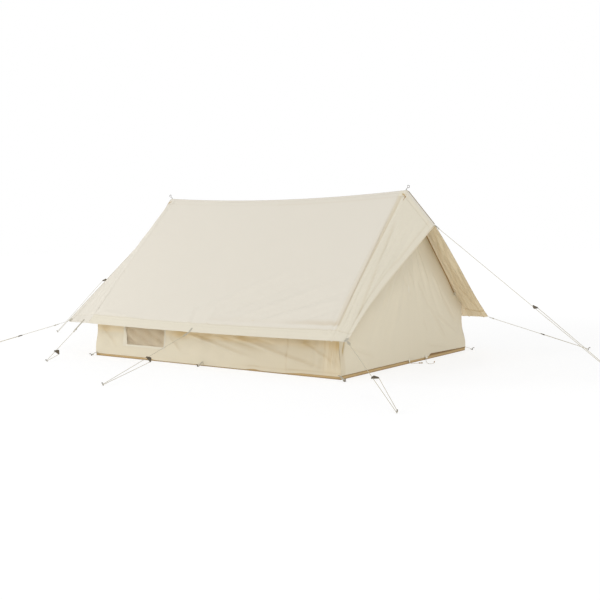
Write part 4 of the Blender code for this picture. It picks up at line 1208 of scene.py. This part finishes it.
for word, side in SIDES:
    rows = wall_rows(side)

    def in_window(k, m, rows=rows):
        centre = (rows[k][m] + rows[k + 1][m + 1]) / 2
        return WINDOW_FROM < centre.x < WINDOW_TO and WINDOW_LOW < centre.z < WINDOW_HIGH

    wall = cloth(f"wall_{word}", rows, (0, side, 0), CANVAS_WARM, holes=in_window,
                 inner=CANVAS_INNER)
    # Painted shade on the wall, and on the next line painted light under the eave and at the front corner.
    painted_light_layer(wall, lambda at: wall_painted_shade(at.x, at.z))
    painted_light_layer(wall, lambda at: wall_lit(at.x, at.z), LIT_MAP)
    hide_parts(f"side_wall_{word}")

# %% [markdown]
# The door end is closed by two halves. Each half is one sheet that runs from the tent's corner and
# the roof over the line where the open door folds back, to the free edge in the middle.

# %% Door halves
LEAF_GAP, LEAF_FOLD, FOLD_TOP, FOLD_OUT = 0.0005, 0.010, 1.250, 0.950
LEAF_HEM_NEAR, LEAF_HEM_FAR, LEAF_HEM_CORNER = 0.030, 0.046, 0.032
LEAF_LOBE_TO, LEAF_LOBE_END = 0.330, 0.380
GABLE_SET_BACK = ((0.0, 0.007), (0.2, 0.028), (0.4, 0.041), (0.6, 0.038), (0.76, 0.043),
                  (0.86, 0.049), (0.94, 0.042))
LEAF_CREASES = (  # start and end as y and height, width, how far out
    ((0.13, 0.96), (0.35, 0.65), 0.020, 0.0090), ((-0.13, 0.79), (0.06, 0.57), 0.016, -0.0070),
    ((-0.02, 0.83), (0.08, 0.64), 0.014, 0.0060), ((0.13, 0.71), (0.36, 0.45), 0.016, -0.0080),
    ((0.33, 0.48), (0.67, 0.15), 0.018, 0.0080), ((0.40, 0.75), (0.61, 0.52), 0.015, 0.0080),
    ((0.58, 0.55), (0.90, 0.27), 0.018, -0.0080), ((0.46, 0.40), (0.90, 0.17), 0.014, 0.0070),
    ((0.51, 0.63), (0.77, 0.40), 0.014, -0.0070), ((0.22, 0.36), (0.33, 0.24), 0.014, -0.0050),
    ((0.26, 0.14), (0.68, 0.07), 0.010, 0.0040), ((-0.95, 0.24), (-0.55, 0.12), 0.016, 0.0050),
)
CORNER_PLEAT = ((-0.962, 0.310), (-1.000, 0.185))  # the dark slot beside the near front corner


def half_painted_shade(at):
    """Painted shade: brown where the half meets the roof, tan in its creases and beside the slot by the
    near front corner.
    """
    below = canopy_height(at.x, at.y) - at.z
    part = abs(at.y) / EAVE_REACH
    made = 0.85 * smooth(0.024, 0.008, below) * smooth(0.80, 0.74, part) + 0.22 * smooth(0.13, 0.0, below)
    made = traces(at.y, at.z, LEAF_CREASES, 0.6, 0.08, made)
    if at.x > 0:
        made += crease(at.y, at.z, *CORNER_PLEAT, 0.008, 0.80) + 0.16 * smooth(-0.975, -0.995, at.y)
    return made


def leaf_hem(y):
    if y < 0:
        return LEAF_HEM_NEAR
    outer = lerp(LEAF_HEM_FAR, LEAF_HEM_CORNER, (y - LEAF_LOBE_END) / (BASE_HALF_WIDTH - LEAF_LOBE_END))
    return lerp(WALL_HEM, outer, smooth(LEAF_LOBE_TO, LEAF_LOBE_END, y))


def fold_line(side):
    top = Vector((BASE_HALF_LENGTH, side * LEAF_GAP, FOLD_TOP))
    low = Vector((BASE_HALF_LENGTH, side * FOLD_OUT, leaf_hem(side * FOLD_OUT)))
    return top, low


def set_back(part, end):
    line = GABLE_SET_BACK + ((1.0, WALL_TOP_SET_BACK[end]),)
    for (a, low), (b, high) in zip(line, line[1:]):
        if part <= b:
            return lerp(low, high, (part - a) / (b - a))
    return line[-1][1]


def resampled(line, count):
    """count + 1 points evenly along a line of points."""
    total = length_of(line)
    made, run, k = [], 0.0, 0
    for share in shares(count):
        target = share * total
        while k < len(line) - 2 and run + (line[k + 1] - line[k]).length < target - 1e-9:
            run += (line[k + 1] - line[k]).length
            k += 1
        step = (line[k + 1] - line[k]).length
        made.append(line[k].lerp(line[k + 1], min(1.0, (target - run) / step)))
    return made


def gable_edge(side, end):
    """The half's outer edge: down the roof's underside, then down the corner to the hem."""
    inner = WALL_TOP_HALF_WIDTH - CLOTH - SEAM_GAP
    roof_line, corner_line = [], []
    for part in shares(60):
        y = lerp(2 * LEAF_GAP, inner, part)
        x = BASE_HALF_LENGTH - set_back(part, end)
        top = min(canopy_height(x, y), canopy_point(end * x, side * y).z)
        roof_line.append(Vector((x, side * y, top - UNDER_ROOF)))
    for height in span(0.30, leaf_hem(side * FOLD_OUT), 30):
        y = wall_y(-BASE_HALF_LENGTH, height) - CLOTH - SEAM_GAP
        corner_line.append(Vector((corner_x(height, end), side * y, height)))
    return resampled(roof_line, 84)[:-1] + [roof_line[-1]] + resampled(corner_line, 16)


def creased(point):
    """How far out the folds push a point of the door, away from its hem."""
    made = 1.25 * creases(point.y, point.z, LEAF_CREASES)
    if point.x > 0:
        made += crease(point.y, point.z, *CORNER_PLEAT, 0.010, -0.004)
    return max(-0.004, made) * smooth(0.05, 0.12, point.z)


def half_rows(end, side):
    """Each row runs from the free edge over the fold line to the outer edge."""
    top, low = fold_line(side)
    outer, rows = gable_edge(side, end), []
    for k, edge in enumerate(outer):
        down = k / (len(outer) - 1)
        hinge, row = top.lerp(low, down), []
        for across in shares(44)[::-1]:
            foot_y = side * lerp(FOLD_OUT, LEAF_GAP, across)
            foot = Vector((BASE_HALF_LENGTH, foot_y, leaf_hem(foot_y)))
            point = top.lerp(foot, down)
            bulge = sin(pi * across) * sin(pi * min(1.0, down * 1.02))
            folds = sin(21 * across + 0.7) * 0.35 + sin(34 * across + 6 * down) * 0.2
            point.x += LEAF_FOLD * bulge * (0.6 + 0.4 * cos(3 * pi * across) + folds)
            point.x += creased(point)
            row.append(point)
        for across in shares(30)[1:]:
            point = hinge.lerp(edge, across)
            point.x = lerp(hinge.x, edge.x, across ** 1.4) + creased(point) * smooth(1.0, 0.85, across)
            row.append(point)
        rows.append([Vector((end * p.x, p.y, p.z)) for p in row])
    return rows


half_flats = {}
for place, end in ENDS:
    for word, side in SIDES:
        half = cloth(f"door_half_{place}_{word}", half_rows(end, side), (end, 0, 0), CANVAS_WARM,
                     None, inner=CANVAS_INNER)
        # Painted shade where the half meets the roof and in its creases.
        painted_light_layer(half, half_painted_shade)
        top, low = fold_line(side)
        middle = Vector((end * BASE_HALF_LENGTH, *((top + low) / 2).yz))
        along = (low - top).normalized()
        away = Vector((0, -along.z * side, along.y * side))
        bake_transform(half)
        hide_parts(f"{place}_gable_{word}", f"{place}_door_{word}")
        area = sum(face.area for face in half.data.polygons)
        half_flats[f"{place}_{word}"] = round(area, 3)
print("door halves, square metres:", half_flats)

# %% [markdown]
# The groundsheet is a tray: its edge stands up inside the walls and shows as a brown band under
# their hem.

# %% Groundsheet
UPSTAND, UPSTAND_STEPS = 0.060, 4
tray_x, tray_y = BASE_HALF_LENGTH - CLOTH - SEAM_GAP, BASE_HALF_WIDTH - CLOTH - SEAM_GAP


def tray_lines(reach):
    """Where the grid's lines lie between -reach and reach, and how high: the outer ones turn up."""
    places = ([-reach] * (UPSTAND_STEPS + 1) + [-reach + 0.001] + span(-reach + 0.004, reach - 0.004, 60)
              + [reach - 0.001] + [reach] * (UPSTAND_STEPS + 1))
    return [(place, UPSTAND * max(0, UPSTAND_STEPS - min(k, len(places) - 1 - k)) / UPSTAND_STEPS)
            for k, place in enumerate(places)]


tray_rows = grid(tray_lines(tray_y), tray_lines(tray_x),
                 lambda y, x: Vector((x[0], y[0], max(x[1], y[1]))))
tray = cloth("groundsheet_tray", tray_rows, (0, 0, -1), SHEET)
# Painted shade on the upstand: dark at its top under the walls' hem and at its foot on the ground, lighter
# between.
painted_light_layer(tray, lambda at: 0.9 * smooth(0.014, 0.030, at.z) + 0.75 * smooth(0.014, 0.0, at.z))
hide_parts("groundsheet")

# %% [markdown]
# Ten webbing tabs hold the guy lines and six loops hold the wall's hem. Each is one strip of 18 mm
# webbing, sewn to the canvas, taken round its ring or cord and sewn back under itself.

# %% Webbing tabs and loops
LOOP_HEIGHT, LOOP_MIDDLE_X, MIDDLE_PEG_OUT = 0.036, -0.040, 0.060
CORNER_PEG_OUT = {("near", "front"): (0.078, 0.062), ("near", "rear"): (0.005, 0.048),
                  ("far", "front"): (0.050, 0.040), ("far", "rear"): (0.030, 0.050)}


def webbing_strip(name, anchor, seam):
    """A strip that is sewn at its start, turns over at its end and comes back below."""
    path = [(-seam, 0.0)] + [(out, 0.0) for out in span(0.0, anchor.webbing, 8)]
    for angle in (radians(90 - 22.5 * step) for step in range(1, 9)):
        path.append((anchor.webbing + WEBBING_TURN * cos(angle),
                     WEBBING_TURN * (sin(angle) - 1)))
    path.append((anchor.webbing - WEBBING_TAIL, -2 * WEBBING_TURN))
    rows = grid(path, (-1, -0.6, 0, 0.6, 1), lambda at, share: anchor.point(
        anchor.start, at[0], share * WEBBING_WIDTH / 2, at[1]))
    made = cloth(name, rows, anchor.up, WEBBING, "tent", WEBBING_THICK)
    made.modifiers["thickness"].offset = 0.0
    return made


for name in GUY_POINTS:
    webbing_strip(f"tab_{name}", guy_anchor(name), WEBBING_SEAM)
for word, side in SIDES:
    hem = side * BASE_HALF_WIDTH
    loops = {"middle": (LOOP_MIDDLE_X, (LOOP_MIDDLE_X, hem + side * MIDDLE_PEG_OUT))}
    for place, end in ENDS:
        out_x, out_y = CORNER_PEG_OUT[word, place]
        loops[place] = (end * (BASE_HALF_LENGTH - WEBBING_WIDTH),
                        (end * (BASE_HALF_LENGTH + out_x), hem + side * out_y))
    for place, (x, peg) in loops.items():
        webbing_strip(f"loop_{word}_{place}", Anchor((x, hem, LOOP_HEIGHT), peg), 0.0)

# %% [markdown]
# A patch doubles the canopy under each guy line at a corner, and a square of webbing is sewn on it
# where the tab pulls.

# %% Corner patches
PATCH_LIFT, PATCH_THICK, WEB_EDGE, WEB_DEEP, WEB_HALF = 0.0016, 0.001, 0.0015, 0.032, 0.010


def canopy_patch(name, outline, side, look):
    """A four-cornered patch on the canopy; outline gives its corners in plan, in order."""
    rows = quad(outline, 12, 12,
                lambda plan: canopy_point(plan.x, plan.y) + Vector((0, 0, PATCH_LIFT)))
    return cloth(name, rows, (0, side, 1), look, thickness=PATCH_THICK)


for name, ((x, y), _, _) in GUY_POINTS.items():
    end, side = (1 if x > 0 else -1), (1 if y > 0 else -1)
    if abs(y) < EAVE_REACH:
        continue
    low, high = y - side * WEB_EDGE, y - side * WEB_DEEP
    if abs(x) > CORNER_REACH:
        inner, outer, patch_from, patch_to, slanted_to = (
            x - end * back for back in (0.036, 0.006, 0.130, 0.040, 0.105))
        web = [(inner, low), (outer, low), (outer - end * 0.004, high), (inner, high)]
        canopy_patch(f"corner_web_{name}", web, side, WEBBING)
        patch = [(patch_from, low), (patch_to, low), (patch_to, y - side * 0.080),
                 (slanted_to, y - side * 0.072)]
        canopy_patch(f"corner_patch_{name}", patch, side, HOOD_LOOKS[end])
    else:
        web = [(x - WEB_HALF, low), (x + WEB_HALF, low), (x + WEB_HALF, high), (x - WEB_HALF, high)]
        canopy_patch(f"eave_web_{name}", web, side, WEBBING)

# %% [markdown]
# The window is a net of 0.5 mm thread, knitted in squares, set in the wall behind a border of
# canvas strips. The net is modelled thread by thread, so the flap behind it shows through its holes.

# %% Window net
NET_PITCH, NET_WIDE, NET_THICK, NET_MARGIN = 0.0022, 0.00050, 0.00025, (0.003, 0.004)


def net_strips(side):
    """Flat threads both ways, a little in front of each other."""
    points, faces, uvs = [], [], []
    wide_span = (WINDOW_FROM - NET_MARGIN[0], WINDOW_TO + NET_MARGIN[0])
    high_span = (WINDOW_LOW - NET_MARGIN[1], WINDOW_HIGH)
    across, up = ([(place, upright) for place in span(low, high, int((high - low) / NET_PITCH))]
                  for upright, (low, high) in ((True, wide_span), (False, high_span)))
    for place, upright in across + up:
        depth = 0.0 if upright else NET_THICK
        stations = span(*(high_span if upright else wide_span), 8)
        strip = ring_faces(len(stations), 4, len(points), capped=False)
        faces += [face[::-1] for face in strip] if (side > 0) == upright else strip
        for station in stations:
            x, z = (place, station) if upright else (station, place)
            y = wall_y(x, z) - CLOTH - 0.0002 - depth
            for wide, deep in ((-1, 0), (1, 0), (1, 1), (-1, 1)):
                shift = wide * NET_WIDE / 2
                points.append(Vector((x + (shift if upright else 0), side * (y - deep * NET_THICK),
                                      z + (0 if upright else shift))))
                uvs.append((station, place))
    return points, faces, uvs


for word, side in SIDES:
    data = mesh_of(f"net_{word}", *net_strips(side))
    net = new_object(f"net_{word}", data, [NET], "tent")
    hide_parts(f"window_net_{word}")

# %% [markdown]
# The flap inside the net hangs from its upper edge and has dropped in slanting folds. Three strips
# of canvas border the window; the one on its left is cut at a slant.

# %% Window flap and border
FLAP_OVERLAP, FLAP_THICK, FLAP_FOLD = 0.020, 0.0015, 0.013


def flap_fold(along, down):
    fold = sin(pi * (2.6 * along - 2.4 * down + 0.2)) ** 2
    ripple = 0.15 * sin(19 * along + 7 * down)
    return max(0.0, fold * smooth(0.0, 0.15, down) + ripple * smooth(0.0, 0.1, down))


def flap_painted_shade(at):
    """Painted shade: tan in the flap's valleys, most under the eave."""
    along = (at.x - WINDOW_FROM) / (WINDOW_TO - WINDOW_FROM)
    down = (WINDOW_HIGH - at.z) / (WINDOW_HIGH - WINDOW_LOW)
    return 0.40 * flap_fold(along, down) ** 2 + 0.28 * smooth(0.20, 0.34, at.z - 0.25 * (WINDOW_TO - at.x))


def flap_point(down, along, side):
    x = lerp(WINDOW_FROM - FLAP_OVERLAP, WINDOW_TO + FLAP_OVERLAP, along)
    face = WALL_TOP_HALF_WIDTH - CLOTH - SEAM_GAP - 0.0016 * smooth(0.0, 0.06, down)
    height = lerp(WINDOW_HIGH + FLAP_OVERLAP, WINDOW_LOW - FLAP_OVERLAP / 2, down)
    return Vector((x, side * (face - FLAP_FOLD * flap_fold(along, down)), height))


def wall_strip(name, corners, side, lift):
    """A strip on the wall between four corners of x and height, in order round it."""
    rows = quad(corners, 3, 40,
                lambda spot: wall_point(spot.x, spot.y, side) + Vector((0, side * lift, 0)))
    return cloth(name, rows, (0, side, 0), CANVAS_HOOD, thickness=PATCH_THICK)


for word, side in SIDES:
    rows = grid(shares(44), shares(90), lambda down, along: flap_point(down, along, side))
    flap = cloth(f"flap_{word}", rows, (0, side, 0), CANVAS_WARM, None, FLAP_THICK)
    # Painted shade in the flap's valleys and under the eave, and painted light on the rest of it.
    painted_light_layer(flap, flap_painted_shade)
    painted_light_layer(flap, lambda at: 0.6 - 0.5 * flap_painted_shade(at), LIT_MAP)
    sewn = Vector(((WINDOW_FROM + WINDOW_TO) / 2, side * WALL_TOP_HALF_WIDTH,
                   WINDOW_HIGH + FLAP_OVERLAP - 0.004))
    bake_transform(flap)
    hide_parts(f"window_flap_{word}")


BORDER_OUT, BORDER_LIFT, LOW_BORDER_LIFT = 0.014, 0.0014, 0.0027
outer_x = (WINDOW_FROM - BORDER_OUT, WINDOW_TO + BORDER_OUT)
low, high = WINDOW_LOW - 0.004, WINDOW_HIGH - 0.03
BORDERS = {  # four corners of each strip, and its lift off the wall
    "left": ([(outer_x[0], low), (outer_x[0], high), (WINDOW_FROM + 0.004, high),
              (WINDOW_FROM + 0.044, low)], BORDER_LIFT),
    "right": ([(WINDOW_TO - 0.004, low), (WINDOW_TO - 0.002, high), (outer_x[1], high),
               (outer_x[1], low)], BORDER_LIFT),
    "low": ([(outer_x[0], WINDOW_LOW - 0.016), (outer_x[1], WINDOW_LOW - 0.016),
             (outer_x[1], WINDOW_LOW + 0.003), (outer_x[0], WINDOW_LOW + 0.003)], LOW_BORDER_LIFT),
}
for word, side in SIDES:
    for place, (corners, lift) in BORDERS.items():
        wall_strip(f"window_border_{place}_{word}", corners, side, lift)

# %% [markdown]
# The door closes with a zip: a canvas tape behind the near leaf carries the coil, and shows as a pale
# line in the slit between the leaves.

# %% Zip tape and coil
ZIP_LOW, ZIP_HIGH, ZIP_STEP, COIL_RADIUS, COIL_WIRE = 0.095, FOLD_TOP - 0.070, 0.0005, 0.0011, 0.0005
ZIP_TAPE_Y, ZIP_TAPE_Z, ZIP_TAPE_THICK = (-0.013, 0.011), (0.034, FOLD_TOP - 0.020), 0.0008
ZIP_BACK = BASE_HALF_LENGTH - CLOTH - SEAM_GAP


def coil_point(k, end):
    angle = TURN * k / 4
    return Vector((end * (ZIP_BACK - 0.0030 + COIL_RADIUS * cos(angle)),
                   -0.0046 + COIL_RADIUS * sin(angle), ZIP_LOW + ZIP_STEP * k))


for place, end in ENDS:
    rows = grid(span(*ZIP_TAPE_Z, 60), span(*ZIP_TAPE_Y, 6),
                lambda z, y: Vector((end * (ZIP_BACK - 0.0004 * abs(y)), y, z)))
    cloth(f"zip_tape_{place}", rows, (end, 0, 0), CANVAS_HOOD, f"{place}_door_near",
          ZIP_TAPE_THICK)
    coil = [coil_point(k, end) for k in range(int((ZIP_HIGH - ZIP_LOW) / ZIP_STEP))]
    tube(f"zip_coil_{place}", [coil], COIL_WIRE, ZIP_METAL, f"{place}_door_near", 4)

# %% [markdown]
# A canvas tab doubles the door's hem where a tie is sewn to it. Along each gable's seam on the roof
# runs a brown cord, painted shade for the shadow in that seam, and at the cord's end a ring holds the
# tie when the door is rolled back.

# %% Tie tabs and tie-back rings
TIE_BACK_AT, TIE_TABS = 0.880, {"near": (-0.021, -0.003), "far": (0.267, 0.305)}
SEAM_SHADOW_CORD_RADIUS, TIE_RING = 0.0045, 0.012
for word, low_and_high in TIE_TABS.items():
    rows = grid(span(0.046, 0.012, 8), span(*low_and_high, 6), lambda z, y: Vector(
        (BASE_HALF_LENGTH + 0.0016 + 0.010 * smooth(0.044, 0.010, z), y, z)))
    cloth(f"tie_tab_{word}", rows, (1, 0, 0), CANVAS_HOOD, f"front_door_{word}",
          PATCH_THICK)
for place, end in ENDS:
    for word, side in SIDES:
        y = lerp(2 * LEAF_GAP, WALL_TOP_HALF_WIDTH - CLOTH - SEAM_GAP, TIE_BACK_AT)
        x = BASE_HALF_LENGTH - set_back(TIE_BACK_AT, end)
        top = canopy_point(end * x, side * y).z - UNDER_ROOF - 0.004
        centre = Vector((end * (x + TIE_RING), side * (y - TIE_RING), top - 0.020))
        ring = [centre + TIE_RING * Vector((0.3 * end * cos(a), side * cos(a), sin(a)))
                for a in (TURN * step / 28 for step in range(29))]
        tube(f"tie_back_{place}_{word}", [ring], SEAM_SHADOW_CORD_RADIUS, THREAD, "tent")
        # A brown cord as painted shade along the gable's seam.
        line = [Vector((end * p.x, p.y, p.z - 0.006)) + Vector((end * 0.004, 0, 0))
                for p in gable_edge(side, end)[3:75]]
        tube(f"gable_seam_shadow_{place}_{word}", [line], SEAM_SHADOW_CORD_RADIUS, SEAM_SHADOW_CORD, "tent")

# %% [markdown]
# The rows of stitches are three along each eave, two beside each hood's seam, one along its free
# edge and one beside its ridge. They are one piece, because they are all sewn to the tent.

# %% Rows of stitches
EAVE_ROWS, EAVE_ROW_TO, SEAM_ROWS = (HEM_FROM + 0.006, EAVE_STITCH, HEM_STITCH), 1.37, (0.010, 0.022)
stitch_points = []
for _, side in SIDES:
    for y in EAVE_ROWS:
        stitch_points += stitches([(x, side * y) for x in span(-EAVE_ROW_TO, EAVE_ROW_TO, 160)])
    for _, end in ENDS:
        for shift in SEAM_ROWS:
            stitch_points += stitches([(end * (seam_x(y / EAVE_REACH) + shift), side * y)
                                       for y in span(0.05, 1.07, 80)])
        stitch_points += stitches([(end * (hood_edge(end, side * y)[0] - HOOD_HEM + 0.006), side * y)
                                   for y in span(0.06, 1.12, 80)])
        stitch_points += stitches([(end * x, side * (RIDGE_STITCH + 0.006)) for x in span(1.40, 1.62, 24)])
dashes = [[first + corner for corner in face] for first in range(0, len(stitch_points), 8)
          for face in DASH_FACES]
data = mesh_of("stitching_tent", stitch_points, dashes, [(0.0, 0.0)] * len(stitch_points))
new_object("stitching_tent", data, [THREAD], "tent")
print("stitches:", len(stitch_points) // 8)

# %% [markdown]
# The solids that are seen as they are get their finishes: pegs, runners, pole parts and zip sliders.

# %% Carried-over solids
SOLID_LOOKS = {  # by a word in the solid's name, the first one that fits
    "peg": STEEL, "runner": RUNNER, "pole_foot": RUBBER, "_pole_": ALLOY, "zip_slider": ZIP_METAL,
}
finished = 0
for node_name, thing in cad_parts.items():
    look = next((look for word, look in SOLID_LOOKS.items() if word in node_name), None)
    if look and not thing.hide_render:
        thing.data.materials.clear()
        thing.data.materials.append(look)
        finished += 1
print("solids with a finish:", finished)

# %% [markdown]
# The last cell measures the dressed tent, prints its box and ends the script.

# %% Finish
low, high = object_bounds()
print("dressed box:", [round(b - a, 3) for a, b in zip(low, high)])
